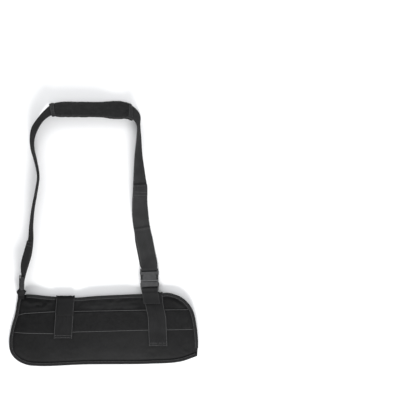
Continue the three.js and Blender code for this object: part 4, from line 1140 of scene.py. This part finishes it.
STRAP_ROUTE = (
    # across, reach, roll in degrees, and whether the pad is round it
    (1.0, 0, 0, 0), (0.999, 0.024, 0, 0), (0.982, 0.093, 0, 0), (0.958, 0.192, 1, 0),
    (0.933, 0.309, 4, 0), (0.924, 0.419, 26, 0), (0.927, 0.511, 33, 0), (0.922, 0.6, 47, 0),
    (0.916, 0.712, 63, 0), (0.919, 0.847, 77, 0), (0.914, 0.909, 78, 0), (0.898, 0.951, 58, 0.5),
    (0.862, 0.979, 43, 1), (0.816, 0.994, 31, 1), (0.738, 0.997, 28, 1), (0.611, 0.999, 39, 1),
    (0.454, 1, 41, 1), (0.296, 1, 42, 1), (0.241, 0.997, 49, 1), (0.194, 0.976, 60, 0.7),
    (0.143, 0.938, 65, 0.1), (0.0985, 0.884, 64, 0), (0.0795, 0.824, 71, 0), (0.0835, 0.764, 75, 0),
    (0.107, 0.693, 78, 0), (0.1275, 0.604, 79.5, 0), (0.1135, 0.52, 79, 0), (0.0865, 0.408, 77, 0),
    (0.0725, 0.307, 74, 0), (0.068, 0.225, 69, 0), (0.048, 0.147, 61, 0), (0.025, 0.083, 62, 0),
    (0.017, 0.038, 71, 0), (0.016, 0, 82, 0),
)


class Strap:
    """The strap's frames by length along it."""

    def __init__(self):
        left, right = ADJUSTER_ALONG * POUCH_LENGTH, BUCKLE_ALONG * POUCH_LENGTH
        rim = rim_at(left)
        places = []
        for across, reach, _, _ in STRAP_ROUTE:
            foot = ADJUSTER_RISE + (BUCKLE_RISE - ADJUSTER_RISE) * across
            places.append((left + (right - left) * across, rim + foot + (STRAP_REACH - foot) * reach, 0))
        self.place = Spline(places)
        self.turn = Spline([(roll, pad, 0) for _, _, roll, pad in STRAP_ROUTE], power=0)
        self.last = len(STRAP_ROUTE) - 1
        self.shares = np.linspace(0, 1, 24 * self.last + 1)
        centres = np.array([self.frame(s)[0] for s in self.shares])
        steps = np.linalg.norm(np.diff(centres, axis=0), axis=1)
        self.lengths = np.concatenate([[0], np.cumsum(steps)])
        self.total = float(self.lengths[-1])
        self.pad_middle = float(np.interp(PAD_MIDDLE_ROW / self.last, self.shares, self.lengths))

    def frame(self, share):
        centre = self.place.at(share)
        run = self.place.run(share)
        degrees, pad, _ = self.turn.at(share)
        roll = math.radians(min(max(degrees, 0), 90))
        outward = np.array((run[1], -run[0], 0.0))
        across = outward * math.cos(roll) - UP * math.sin(roll)
        over = outward * math.sin(roll) + UP * math.cos(roll)
        bare = WEBBING_WIDTH / 2 * math.sin(roll) + WEBBING_THICKNESS / 2 * math.cos(roll)
        padded = math.hypot(PAD_WIDTH / 2 * math.sin(roll), PAD_THICKNESS / 2 * math.cos(roll))
        on_buckle = 1 - ease(share * self.last / LIFT_ROWS)
        in_lock = ease((share - 1) * self.last / LOCK_ROWS + 1)
        rail = (LOCK_RAIL + CLEARANCE) * math.sin(roll)
        pad = min(max(pad, 0), 1)
        centre[2] = bare + (padded - bare) * pad + BUCKLE_LIFT * on_buckle + rail * in_lock
        return centre, across, over

    def at(self, length):
        return self.frame(float(np.interp(length, self.lengths, self.shares)))


def shifted(frame_, distance):
    centre, across, over = frame_
    return centre + over * distance, across, over


def flipped(frame_):
    centre, across, over = frame_
    return centre, across, -over


def slid(frame_, distance):
    centre, across, over = frame_
    return centre + across * distance, across, over


def round_bar(centre, across, run, over, start, end, steps):
    frames = []
    for angle in np.radians(np.linspace(start, end, steps + 1)):
        out = over * math.cos(angle) + run * math.sin(angle)
        frames.append((centre + out * LOOP_RADIUS, across, out))
    return frames


def run_of(frame_):
    return unit(np.cross(frame_[2], frame_[1]))


strap = Strap()
print("strap from bar to bar in mm:", round(strap.total / MM))

# %% [markdown]
# ## The webbing itself
# One length of webbing: from its free end above the buckle down to the buckle's bar, up round
# the shoulder pad, down to the adjuster's middle bar, and back up on itself. Its section has
# round edges. Above the buckle the two layers have slipped a little apart, and the upper one is
# pushed up in a crease.

# %% Strap webbing
STRAP_STEP = 1.8 * MM
FRONT_SLIP = 1.3 * MM
BACK_SLIP = -2.0 * MM
SLIP_START = 5 * MM
SLIP_END = 98 * MM
CREASE_PLACE = 103 * MM
CREASE_HEIGHT = 2.3 * MM
CREASE_WIDTH = 2.8 * MM
SLIP_GROWS = 9 * MM
SLIP_FADES = 26 * MM
BAR_STEPS = 16


def slip_at(length):
    """How far the two layers have slipped apart, from 0 to 1."""
    return float(ease((length - SLIP_START) / SLIP_GROWS) * ease((SLIP_END - length) / SLIP_FADES))


def crease_at(length):
    return CREASE_HEIGHT * math.exp(-(((length - CREASE_PLACE) / CREASE_WIDTH) ** 2))


def lock_places():
    centre, across, over = strap.at(strap.total)
    down = run_of((centre, across, over))
    upper = centre + over * (LOOP_RADIUS + PITCH)
    middle = upper + down * LOCK_BAR_SPACING
    lower = middle + down * LOCK_BAR_SPACING
    return {"across": across, "over": over, "down": down, "upper": upper, "middle": middle, "lower": lower}


def steps_between(start, end):
    return np.linspace(start, end, max(2, round(abs(end - start) / STRAP_STEP)) + 1)


def strap_frames(lock):
    start = strap.at(0)
    up_run = run_of(start)
    bar = start[0] + start[2] * LOOP_RADIUS
    frames = []
    for length in steps_between(BUCKLE_TAIL, STRAP_STEP):
        gap = 2 * LOOP_RADIUS + (PITCH - 2 * LOOP_RADIUS) * ease(length / LAYERS_MEET)
        raised = shifted(strap.at(length), gap + crease_at(length))
        frames.append(slid(raised, FRONT_SLIP * slip_at(length)))
    frames += round_bar(bar, start[1], -up_run, start[2], 0, 180, 14)
    for length in steps_between(STRAP_STEP, strap.total):
        frames.append(flipped(slid(strap.at(length), BACK_SLIP * slip_at(length))))
    cross = math.degrees(math.asin(2 * LOOP_RADIUS / LOCK_BAR_SPACING))
    frames += round_bar(lock["middle"], lock["across"], lock["down"], lock["over"], 180, -cross, BAR_STEPS)
    under = round_bar(lock["upper"], lock["across"], lock["down"], lock["over"], 180 - cross, 180, 4)
    frames += [flipped(f) for f in under]
    tail = steps_between(strap.total - STRAP_STEP, strap.total - ADJUSTER_TAIL)
    frames += [shifted(strap.at(length), PITCH) for length in tail]
    return frames


lock = lock_places()
walk = strap_frames(lock)
web_loop = web_section(WEBBING_WIDTH, WEBBING_THICKNESS)
webbing = strip("strap_webbing", walk, lambda i: web_loop, WEBBING_CLOTH)
register(webbing, "webbing", "shoulder_strap")

# %% [markdown]
# ## Bar-tacks and hems of the strap
# The webbing's free ends are sewn down: three rows across the end above the buckle, and two
# across the adjuster's tail.

# %% Strap stitching
STITCH_INSET = 3 * MM
ROW_POINTS = 9
BUCKLE_ROWS = (4 * MM, 19 * MM, 27 * MM)
ADJUSTER_ROWS = (4 * MM, 12 * MM)


def row_across(frame_):
    """A stitch row across the webbing's upper layer."""
    centre, across, over = shifted(frame_, PITCH)
    half = WEBBING_WIDTH / 2 - STITCH_INSET
    face = centre + over * WEBBING_THICKNESS / 2
    return [(face + across * u, over) for u in np.linspace(-half, half, ROW_POINTS)]


strap_seams = [row_across(strap.at(BUCKLE_TAIL - below_end)) for below_end in BUCKLE_ROWS]
strap_seams += [row_across(strap.at(strap.total - ADJUSTER_TAIL + below_end)) for below_end in ADJUSTER_ROWS]
strap_stitches = stitch_rows("strap_stitches", strap_seams, width=THICK_THREAD_WIDTH)

# %% [markdown]
# ## The shoulder pad
# A jersey tube stuffed with a strip of foam, sewn along both long edges and gathered at its
# ends. The tube is stuffed by simulation: its ends and seams are held, and pressure swells
# the cloth between them. The sleeve's end by the buckle is stiffer than the strap in it, so it
# is squared up a little where the strap turns down.

# %% Pad sleeve
PAD_ROWS = (
    # along, width and thickness, as shares of the full ones
    (0, 0.94, 0.7), (0.06, 0.97, 0.86), (0.16, 1, 0.97), (0.32, 0.98, 1), (0.5, 0.97, 0.98),
    (0.68, 0.98, 1), (0.84, 1, 0.97), (0.94, 0.97, 0.86), (1, 0.94, 0.7),
)
PAD_CORE = PAD_LENGTH - 2 * PAD_HEM - 2 * CLEARANCE
PAD_SIDES = 64
PAD_STEPS = 74
PAD_PRESSURE = 240
PAD_CLOTH_MASS = 0.004
PAD_CAP = 1.3 * MM
PAD_SLACK = 0.03
PAD_TUCK = 0.8 * MM
PAD_SQUARING = 0.75
PAD_SQUARED_SHARE = 0.3
GATHER_COUNT = 16
GATHER_HEIGHT = 0.6 * MM
GATHER_REACH = 9 * MM
SLOT_ROOM = 1.6 * MM
SEAM_SPOTS = (5, 27, 37, 59)


def ring(width, thickness, flatness):
    """A rounded loop of points. A flatness under 1 squares it off."""
    loop = []
    for k in range(PAD_SIDES):
        angle = math.tau * k / PAD_SIDES
        c, s = math.cos(angle), math.sin(angle)
        u = math.copysign(abs(c) ** flatness, c) * width / 2
        v = math.copysign(abs(s) ** flatness, s) * thickness / 2
        loop.append((u, v))
    return loop


def tube(name, frames, outer, inner, material):
    """A tube with an outer and an inner loop at each frame."""
    sides = len(outer(0))
    points, uv = [], []
    for side in (outer, inner):
        travelled = 0.0
        for i, (centre, across, over) in enumerate(frames):
            if i:
                travelled += float(np.linalg.norm(centre - frames[i - 1][0]))
            around = 0.0
            loop = side(i)
            for k, (u, v) in enumerate(loop):
                points.append(centre + across * u + over * v)
                uv.append((around, travelled))
                after = loop[(k + 1) % sides]
                around += math.hypot(after[0] - u, after[1] - v)
    inside = len(frames) * sides
    last = (len(frames) - 1) * sides
    faces = []
    for k in range(sides):
        n = (k + 1) % sides
        for i in range(0, last, sides):
            faces.append((i + k, i + n, i + sides + n, i + sides + k))
            faces.append((inside + i + k, inside + i + sides + k, inside + i + sides + n, inside + i + n))
        faces.append((k, inside + k, inside + n, n))
        faces.append((last + k, last + n, inside + last + n, inside + last + k))
    piece = new_piece(name, points, faces, material, uv)
    face_out(piece)
    return piece


def slot_loop(i):
    """The inner loop, squared off round the strap."""
    width, height = WEBBING_WIDTH + SLOT_ROOM, WEBBING_THICKNESS + SLOT_ROOM
    loop = []
    for k in range(PAD_SIDES):
        angle = math.tau * k / PAD_SIDES
        c, s = math.cos(angle), math.sin(angle)
        stretch = 1 / max(abs(c), abs(s))
        loop.append((c * stretch * width / 2, s * stretch * height / 2))
    return loop


def squared(frame_, amount):
    """A frame whose crossways direction is turned part of the way to straight up the table."""
    centre, across, over = frame_
    upright = np.array([0, math.copysign(1, across[1]), 0])
    across = across + (upright - across) * amount
    return centre, unit(across - over * float(across @ over)), over


def pad_frame(share):
    amount = PAD_SQUARING * (1 - float(ease(share / PAD_SQUARED_SHARE)))
    return squared(strap.at(pad_start + PAD_CORE * share), amount)


pad_start = strap.pad_middle - PAD_CORE / 2
pad_frames = [pad_frame(s) for s in np.linspace(0, 1, PAD_STEPS)]
pad_table = np.array(PAD_ROWS)


def pad_loop(i):
    at = i / (PAD_STEPS - 1)
    width = PAD_WIDTH * np.interp(at, pad_table[:, 0], pad_table[:, 1])
    thickness = PAD_THICKNESS * np.interp(at, pad_table[:, 0], pad_table[:, 2])
    gathers = GATHER_HEIGHT * math.exp(-min(at, 1 - at) * PAD_CORE / GATHER_REACH)
    loop = []
    for k, (u, v) in enumerate(ring(width, thickness - 2 * PAD_TUCK, 0.9)):
        lean = 1 + gathers / (thickness / 2) * math.cos(GATHER_COUNT * math.tau * k / PAD_SIDES)
        loop.append((u, v * lean))
    return loop


def stuffed(piece):
    """Swells the tube's outer cloth, held at both ends and along its four seams."""
    outer = np.array([v.co for v in piece.data.vertices])[: PAD_STEPS * PAD_SIDES]
    faces = []
    for first in range(0, (PAD_STEPS - 1) * PAD_SIDES, PAD_SIDES):
        for k in range(PAD_SIDES):
            a, b = first + k, first + (k + 1) % PAD_SIDES
            faces.append((a, b, b + PAD_SIDES, a + PAD_SIDES))
    trial = new_piece("pad_trial", outer, faces, JERSEY)
    face_out(trial)
    held = np.zeros(len(outer))
    for i in range(PAD_STEPS):
        held[i * PAD_SIDES : (i + 1) * PAD_SIDES] = 1 if min(i, PAD_STEPS - 1 - i) < 2 else 0
        for k in SEAM_SPOTS:
            held[i * PAD_SIDES + k] = 1
    slack = np.ones(len(outer))
    swollen = settle(trial, held, slack, PAD_SLACK, PAD_CAP, PAD_PRESSURE, PAD_CLOTH_MASS)
    bpy.data.objects.remove(trial)
    for i, place in enumerate(swollen):
        piece.data.vertices[i].co = place
    piece.data.update()


pad = tube("pad_sleeve", pad_frames, pad_loop, slot_loop, JERSEY)
stuffed(pad)
register(pad, "pad_cloth", "shoulder_pad")
pad_seams = []
for k in SEAM_SPOTS[:2]:
    seam = [(np.array(pad.data.vertices[i * PAD_SIDES + k].co), pad_frames[i][2]) for i in range(PAD_STEPS)]
    pad_seams.append(seam)
pad_stitches = stitch_rows("pad_stitches", pad_seams)


# %% Pad hems
HEM_STIFFNESS = 0.55
HEM_STEPS = 9
HEM_WIDTH = 0.94 * PAD_WIDTH
HEM_THICKNESS = 0.66 * PAD_THICKNESS
PLEAT_HEIGHT = 0.12


def stiffened(frame_, anchor, travelled):
    """A frame part of the way from the strap's curve to straight on from the pad's end."""
    centre, across, over = frame_
    straight = anchor[0] + run_of(anchor) * travelled
    across = unit(across + (anchor[1] - across) * HEM_STIFFNESS)
    over = over + (anchor[2] - over) * HEM_STIFFNESS
    over = unit(over - across * float(over @ across))
    return centre + (straight - centre) * HEM_STIFFNESS, across, over


def pad_hem(name, side):
    outer_end = strap.pad_middle + side * PAD_LENGTH / 2
    inner_end = outer_end - side * PAD_HEM
    anchor = strap.at(inner_end)
    lengths = np.linspace(min(outer_end, inner_end), max(outer_end, inner_end), HEM_STEPS)
    frames = [stiffened(strap.at(length), anchor, length - inner_end) for length in lengths]
    if side < 0:
        frames = [squared(frame_, PAD_SQUARING) for frame_ in frames]

    def loop(i):
        share = i / (HEM_STEPS - 1)
        bulge = 1 + 0.05 * math.sin(math.pi * share) + 0.025 * math.sin(math.tau * 2.5 * share)
        made = []
        for k, (u, v) in enumerate(ring(HEM_WIDTH, HEM_THICKNESS, 0.8)):
            pleat = 1 + PLEAT_HEIGHT * math.cos(GATHER_COUNT * math.tau * k / PAD_SIDES + 2.0 * share)
            made.append((u * bulge, v * bulge * pleat))
        return made

    piece = tube(name, frames, loop, slot_loop, HEM_PAINTED_HIGHLIGHT_JERSEY)
    rows = []
    for at in (1, HEM_STEPS - 2):
        centre, across, over = frames[at]
        for sign in (1, -1):
            rows.append([(centre + across * u + over * v * 1.02, over * sign)
                         for u, v in loop(at) if v * sign > 0.3 * PAD_THICKNESS / 2])
    return piece, rows


hem_rows = []
for node, side in (("pad_hem_right", -1), ("pad_hem_left", 1)):
    hem, rows = pad_hem(f"{node}_cloth", side)
    register(hem, "pad_cloth", node)
    hem_rows += rows
hem_stitches = stitch_rows("hem_stitches", hem_rows)

# %% [markdown]
# ## The closure tabs
# Each tab is a strip of cloth with corded edges, sewn inside on the back panel. It comes out
# of the mouth, folds over the front rim and hangs down the front, over the band. The real tab's
# end is turned under and sewn across; here the end is left flat, and two rows of stitches across
# it make the bright line.

# %% Tabs
TAB_THICKNESS = 1.8 * MM
TAB_EDGE_WIDTH = 3.2 * MM
TAB_EDGE_THICKNESS = 2.8 * MM
TAB_ROOT = 46 * MM
TAB_CLIMB = 16 * MM
TAB_FOLD = 3.2 * MM
LEFT_TAB_DROP = 100 * MM
RIGHT_TAB_DROP = 127 * MM
LEFT_TAB_LEAN = ((-1, -0.202), (0, -0.202), (1, -0.216))
RIGHT_TAB_LEAN = ((-1, 0.264), (0, 0.264), (0.2, 0.269), (0.45, 0.284), (1, 0.29))
TAB_STEP = 2.5 * MM
TAB_RIPPLE = 1.4 * MM
RIPPLE_ACROSS = 6 * MM
RIPPLE_ALONG = 22 * MM


def lean_at(lean, down):
    table = np.array(lean)
    return float(np.interp(down, table[:, 0], table[:, 1])) * POUCH_LENGTH


def widest_top(trees, x, y, half, reach):
    return max(top_at(trees, x + s * half, y + t * reach) for s in (-1, -0.5, 0, 0.5, 1) for t in (-1, 0, 1))


def tab_places(lean, drop, trees):
    rim_x = lean_at(lean, 0)
    rim_y = max(rim_at(rim_x + s * TAB_WIDTH) for s in (-0.5, -0.25, 0, 0.25, 0.5))
    half = TAB_THICKNESS / 2
    root = PANEL_THICKNESS + CLEARANCE + TAB_EDGE_THICKNESS - TAB_THICKNESS + half
    out = rim_y + 3 * CLEARANCE + BINDING_THICKNESS + half
    rim_top = max(top_at(trees, rim_x + s * TAB_WIDTH / 2, rim_y - t * BINDING_WIDTH)
                  for s in np.linspace(-1, 1, 9) for t in (0.15, 0.5, 1))
    top = rim_top + CLEARANCE + half
    mouth = PANEL_THICKNESS + TAB_MOUTH_HEIGHT - CLEARANCE - BINDING_THICKNESS
    climb = root + (mouth - root) * 0.5
    inside = [(rim_y - TAB_ROOT, root), (rim_y - 0.7 * TAB_ROOT, root), (rim_y - TAB_CLIMB, root),
              (rim_y - TAB_CLIMB / 4, root + (mouth - root) * 0.25), (out - 0.44 * TAB_FOLD, climb)]
    turn = [(out, root + (mouth - root) * 0.9), (out + 0.1 * MM, (mouth + top) / 2),
            (out, top - 0.7 * TAB_FOLD), (out - 0.3 * TAB_FOLD, top - 0.2 * TAB_FOLD),
            (out - TAB_FOLD, top + 0.06 * TAB_FOLD)]
    start, end = out - TAB_FOLD, rim_y - drop
    ys = np.linspace(start, end, round((start - end) / TAB_STEP) + 1)[1:]
    levels = []
    for y in ys:
        x = lean_at(lean, (rim_y - y) / drop)
        levels.append(widest_top(trees, x, y, TAB_WIDTH / 2, 3 * MM) + CLEARANCE + half)
    walkway = inside + turn + list(zip(ys, smoothed(levels, 3)))
    return [np.array((lean_at(lean, (rim_y - y) / drop), y, z)) for y, z in walkway]


def level_frames(places):
    frames = []
    for i, place in enumerate(places):
        step = places[min(i + 1, len(places) - 1)] - places[max(i - 1, 0)]
        frames.append((place, np.array((1.0, 0, 0)), unit(np.array((0, -step[2], step[1])))))
    return frames


def ripple(u, i):
    """How far the tab's face swells or sinks, fading out before the cords."""
    fade = 1 - ease((abs(u) / (TAB_WIDTH / 2) - 0.6) / 0.3)
    spot = Vector((u / RIPPLE_ACROSS, i * TAB_STEP / RIPPLE_ALONG, 4.7))
    return TAB_RIPPLE * float(fade) * noise.noise(spot)


def tab_loop(i):
    """Flat on the pouch's side, with a round corded edge each side of the face."""
    half, v = TAB_WIDTH / 2, TAB_THICKNESS / 2
    inner = half - TAB_EDGE_WIDTH
    cord = TAB_EDGE_THICKNESS / 2
    middle = v - cord
    face = [(u, -v + ripple(u, i)) for u in np.linspace(-inner, inner, 23)]
    turn = np.radians(np.linspace(-150, 80, 9))
    crown = half - TAB_EDGE_WIDTH / 2
    right = [(crown + TAB_EDGE_WIDTH / 2 * math.cos(a), middle + cord * math.sin(a)) for a in turn]
    back_side = [(u, v) for u in np.linspace(inner, -inner, 11)]
    left = [(-u, w) for u, w in right[::-1]]
    return face + right + back_side + left


def closure_tab(node, lean, drop):
    frames = level_frames(tab_places(lean, drop, on_front))
    piece = strip(f"{node}_cloth", frames, tab_loop, TAB_CLOTH)
    return register(piece, "webbing", node), frames


on_front = surfaces(front, front_tape, band, lower_edge, upper_edge)
left_tab, left_frames = closure_tab("left_tab", LEFT_TAB_LEAN, LEFT_TAB_DROP)
right_tab, right_frames = closure_tab("right_tab", RIGHT_TAB_LEAN, RIGHT_TAB_DROP)

# %% [markdown]
# The tab's frames turn with it over the rim, so its outer face is the side against `over`.
# Stitch rows run down both cords and across the sewn end.

# %% Tab stitching
FOLD_PLACE = 10


def cord_path(frames, side):
    """Down the crown of a corded edge."""
    aside = side * (TAB_WIDTH - TAB_EDGE_WIDTH) / 2
    crown = TAB_THICKNESS / 2 - TAB_EDGE_THICKNESS
    return [(centre + across * aside + over * crown, -over) for centre, across, over in frames[FOLD_PLACE:]]


def tab_seams(frames):
    half = TAB_WIDTH / 2 - TAB_EDGE_WIDTH
    rows = [cord_path(frames, side) for side in (-1, 1)]
    for back_from_end in (1, 3):
        centre, across, over = frames[-1 - back_from_end]
        face = centre - over * TAB_THICKNESS / 2
        rows.append([(face + across * u, -over) for u in np.linspace(-half, half, ROW_POINTS)])
    return rows


tab_rows = tab_seams(left_frames) + tab_seams(right_frames)
tab_stitches = stitch_rows("tab_stitches", tab_rows, width=THICK_THREAD_WIDTH)

# %% [markdown]
# ## Webbing on the tabs and at the corner
# A patch of webbing on the left tab, the two layers that tie the buckle to the right tab, and
# the loop that holds the adjuster to the pouch's corner, folded narrow where it is sewn down.

# %% Left tab's patch
PATCH_LENGTH = 42 * MM
PATCH_STEPS = 22
patch_width = TAB_WIDTH - 2 * TAB_EDGE_WIDTH - 2 * CLEARANCE
patch_trees = surfaces(left_tab)
patch_top = left_frames[FOLD_PLACE - 1][0][1] - WEBBING_THICKNESS
patch_x = left_frames[FOLD_PLACE][0][0]
patch_places = []
for y in np.linspace(patch_top, patch_top - PATCH_LENGTH, PATCH_STEPS):
    rest = max(top_at(patch_trees, patch_x + s * patch_width * 0.45, y) for s in (-1, 0, 1))
    patch_places.append(np.array((patch_x, y, rest + CLEARANCE + WEBBING_THICKNESS / 2)))
patch_frames = level_frames(patch_places)
patch_loop = web_section(patch_width, WEBBING_THICKNESS)
patch = strip("left_patch", patch_frames, lambda i: patch_loop, TIE_CLOTH)
register(patch, "webbing", "left_tab_webbing")

# %% Buckle webbing
BUCKLE_SPAN = 46.5 * MM
BUCKLE_TILT = math.radians(12)
SEWN_LENGTH = 22.5 * MM
SEWN_SHIFT = 3 * MM
start_centre, start_across, start_over = strap.at(0)
strap_up = run_of((start_centre, start_across, start_over))
buckle_bar = start_centre + start_over * LOOP_RADIUS
tilt = Matrix.Rotation(-BUCKLE_TILT, 3, Vector(start_across))
towards_strap = np.array(tilt @ Vector(strap_up))
out_of_buckle = np.array(tilt @ Vector(start_over))
male_bar = buckle_bar - towards_strap * BUCKLE_SPAN
right_trees = on_front + surfaces(right_tab)
tab_out = max(f[0][1] for f in right_frames) + TAB_EDGE_THICKNESS
tab_top = rim_at(lean_at(RIGHT_TAB_LEAN, 0))
sewn_y = tab_top - SEWN_LENGTH
lean_from = male_bar[1] - LOOP_RADIUS - WEBBING_THICKNESS


def webbing_x(y):
    share = min(max((lean_from - y) / (lean_from - sewn_y), 0), 1)
    return male_bar[0] + (lean_at(RIGHT_TAB_LEAN, 0) - SEWN_SHIFT - male_bar[0]) * share


lower = []
for y in np.linspace(sewn_y, tab_out, 14):
    rest = widest_top(right_trees, webbing_x(y), y, WEBBING_WIDTH / 2, 2 * MM)
    lower.append(np.array((webbing_x(y), y, rest + CLEARANCE + WEBBING_THICKNESS / 2)))
levels = np.array([p[2] for p in lower])
levels = np.maximum(levels, smoothed(levels, 1))
for place, level in zip(lower, levels):
    place[2] = level
under = [flipped(f) for f in level_frames(lower)]
above = level_frames([place + UP * PITCH for place in lower])[::-1]
away = float(np.linalg.norm(male_bar - lower[-1]))
wrap = math.degrees(math.asin((LOOP_RADIUS - PITCH / 2) / away))
turn = round_bar(male_bar, start_across, towards_strap, out_of_buckle, 180 + wrap, -wrap, BAR_STEPS)
tie = strip("buckle_tie", under + turn + above, lambda i: web_loop, TIE_CLOTH)
register(tie, "webbing", "right_webbing")

# %% Corner loop
CORNER_WIDTH = 16 * MM
CORNER_LENGTH = 10 * MM
CORNER_INSET = 5.5 * MM
CORNER_STEPS = 28
corner = np.array((SEAM_POINTS[0][0] * POUCH_LENGTH + CORNER_INSET, SEAM_POINTS[0][1] * POUCH_DEPTH, 0))
corner_trees = surfaces(front, seam_tape, front_tape)
corner_rest = CLEARANCE + max(
    top_at(corner_trees, corner[0] + s * CORNER_WIDTH / 2, corner[1] - t * CORNER_LENGTH)
    for s in np.linspace(-1, 1, 7) for t in np.linspace(-0.2, 1, 7))
rest_level = corner_rest + WEBBING_THICKNESS / 2 + PITCH / 2
rim_place = np.array((corner[0], corner[1], rest_level))
sewn_place = np.array((corner[0], corner[1] - CORNER_LENGTH, rest_level))
fall = 0.35 * float(np.linalg.norm(lock["lower"] - rim_place))
route = Spline([lock["lower"], lock["lower"] + lock["down"] * fall, rim_place, sewn_place])
half_walk = []
for i in range(1, CORNER_STEPS + 1):
    share = i / CORNER_STEPS
    turned = float(ease(share / 0.66))
    across = unit(lock["across"] * (1 - turned) + np.array((-1.0, 0, 0)) * turned)
    run = np.array((0, -1.0, 0)) if i == CORNER_STEPS else route.run(share)
    over = unit(np.cross(across, run))
    gap = LOOP_RADIUS + (PITCH / 2 - LOOP_RADIUS) * float(ease((share - 0.12) / 0.5))
    width = WEBBING_WIDTH + (CORNER_WIDTH - WEBBING_WIDTH) * turned
    half_walk.append((route.at(share), across, over, width, gap))
near = [(c + o * g, a, o, w) for c, a, o, w, g in half_walk]
far = [(c - o * g, a, -o, w) for c, a, o, w, g in half_walk]
turn = round_bar(lock["lower"], lock["across"], -lock["down"], lock["over"], 0, 180, 12)
corner_walk = near[::-1] + [(*f, WEBBING_WIDTH) for f in turn] + far
corner_piece = strip(
    "adjuster_tie", [f[:3] for f in corner_walk],
    lambda i: web_section(corner_walk[i][3], WEBBING_THICKNESS), TIE_CLOTH)
register(corner_piece, "webbing", "corner_loop")


# %% [markdown]
# ## Buckle and adjuster
# The frame's mouldings have true sizes and sharp edges. A moulded part has no sharp edge: a
# copy of each is welded, and every hard edge gets a small round, which is what catches the
# light. The buckle's sides are also drawn in and out a little, with a window on each side of the
# outer half and a groove on each side of the inner one.


# %% Moulded parts
WELD_DISTANCE = 1e-6
FLAT_ANGLE = math.radians(2)
ROUNDED_ANGLE = math.radians(32)
SHARP_ANGLE = math.radians(35)


def contoured(work, outline_rows):
    """Moves a buckle half's side walls in or out by the rows of (place up the buckle, distance)."""
    table = np.array(outline_rows) * MM
    for up_place in table[:, 0]:
        geometry = work.verts[:] + work.edges[:] + work.faces[:]
        cut = Vector(buckle_bar + towards_strap * up_place)
        bmesh.ops.bisect_plane(
            work, geom=geometry, plane_co=cut, plane_no=Vector(towards_strap), dist=WELD_DISTANCE)
    for vertex in work.verts:
        place = np.array(vertex.co) - buckle_bar
        aside = float(place @ start_across)
        if abs(aside) > BUCKLE_WIDTH / 2 - SIDE_WALL:
            move = float(np.interp(place @ towards_strap, table[::-1, 0], table[::-1, 1]))
            vertex.co += Vector(start_across * move * math.copysign(1, aside))


def block(name, low, high):
    """A box in the buckle's own frame, as a cutter."""
    corners = [buckle_bar + u * start_across + v * towards_strap + w * out_of_buckle
               for u in (low[0], high[0]) for v in (low[1], high[1]) for w in (low[2], high[2])]
    faces = [(0, 1, 3, 2), (4, 6, 7, 5), (0, 4, 5, 1), (2, 3, 7, 6), (0, 2, 6, 4), (1, 5, 7, 3)]
    cutter = new_piece(name, corners, faces, PLASTIC, smooth=False)
    face_out(cutter)
    return cutter


def moulded(node, name, radius, material, outline_rows=(), cutters=()):
    """A node's solid, welded, drawn in by its outline, cut and rounded by a radius."""
    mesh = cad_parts[node].data.copy()
    mesh.name = name
    piece = bpy.data.objects.new(name, mesh)
    bpy.context.scene.collection.objects.link(piece)
    work = bmesh.new()
    work.from_mesh(mesh)
    bmesh.ops.remove_doubles(work, verts=work.verts, dist=WELD_DISTANCE)
    bmesh.ops.dissolve_limit(work, angle_limit=FLAT_ANGLE, verts=work.verts, edges=work.edges)
    if outline_rows:
        contoured(work, outline_rows)
    work.to_mesh(mesh)
    work.free()
    mesh.materials.clear()
    mesh.materials.append(material)
    for cutter in cutters:
        cut = piece.modifiers.new("window", "BOOLEAN")
        cut.operation = "DIFFERENCE"
        cut.solver = "EXACT"
        cut.object = cutter
    bevel = piece.modifiers.new("round edges", "BEVEL")
    bevel.width = radius
    bevel.segments = 3
    bevel.limit_method = "ANGLE"
    bevel.angle_limit = ROUNDED_ANGLE
    shown = piece.evaluated_get(bpy.context.evaluated_depsgraph_get())
    rounded = bpy.data.meshes.new_from_object(shown)
    piece.modifiers.clear()
    for cutter in cutters:
        bpy.data.objects.remove(cutter)
    piece.data = rounded
    rounded.name = name
    rounded.shade_smooth()
    rounded.set_sharp_from_angle(angle=SHARP_ANGLE)
    return register(piece, "buckle_plastic", node)


BUCKLE_WIDTH = 45 * MM
SIDE_WALL = 0.5 * MM
WINDOW_DEPTH = 6.0 * MM
WINDOW_LOW = -24 * MM
WINDOW_HIGH = -12.5 * MM
FEMALE_OUTLINE = (
    # place up from the strap's bar and distance outward, in mm
    (3.6, 0), (0, -0.4), (-4, 0.3), (-7, 0.7), (-10, 0.2), (-13, -0.6), (-23, -0.9), (-28.5, -2.0),
)
MALE_OUTLINE = ((-28.85, -2.2), (-31, -0.4), (-33, 0.5), (-38, 0.2), (-44, -0.4), (-51.3, -1.6))
GROOVE_WIDTH = 3.0 * MM
GROOVE_FLOOR = -1.6 * MM


def side_blocks(name, near_edge, far_edge, floor_level):
    """A cutter on each side, between two distances from the buckle's side walls."""
    inner, outer = BUCKLE_WIDTH / 2 - near_edge, BUCKLE_WIDTH / 2 - far_edge
    right = block(f"{name}_right", (inner, WINDOW_LOW, floor_level), (outer, WINDOW_HIGH, BUCKLE_WIDTH))
    left = block(f"{name}_left", (-outer, WINDOW_LOW, floor_level), (-inner, WINDOW_HIGH, BUCKLE_WIDTH))
    return [right, left]


windows = side_blocks("window", WINDOW_DEPTH, -BUCKLE_WIDTH, -BUCKLE_WIDTH)
grooves = side_blocks("groove", WINDOW_DEPTH, WINDOW_DEPTH - GROOVE_WIDTH, GROOVE_FLOOR)
moulded("buckle_female", "buckle_female_part", 0.7 * MM, PLASTIC, FEMALE_OUTLINE, windows)
moulded("buckle_male", "buckle_male_part", 0.6 * MM, PLASTIC, MALE_OUTLINE, grooves)
moulded("ladder_lock", "adjuster_part", 0.45 * MM, DARK_PLASTIC)
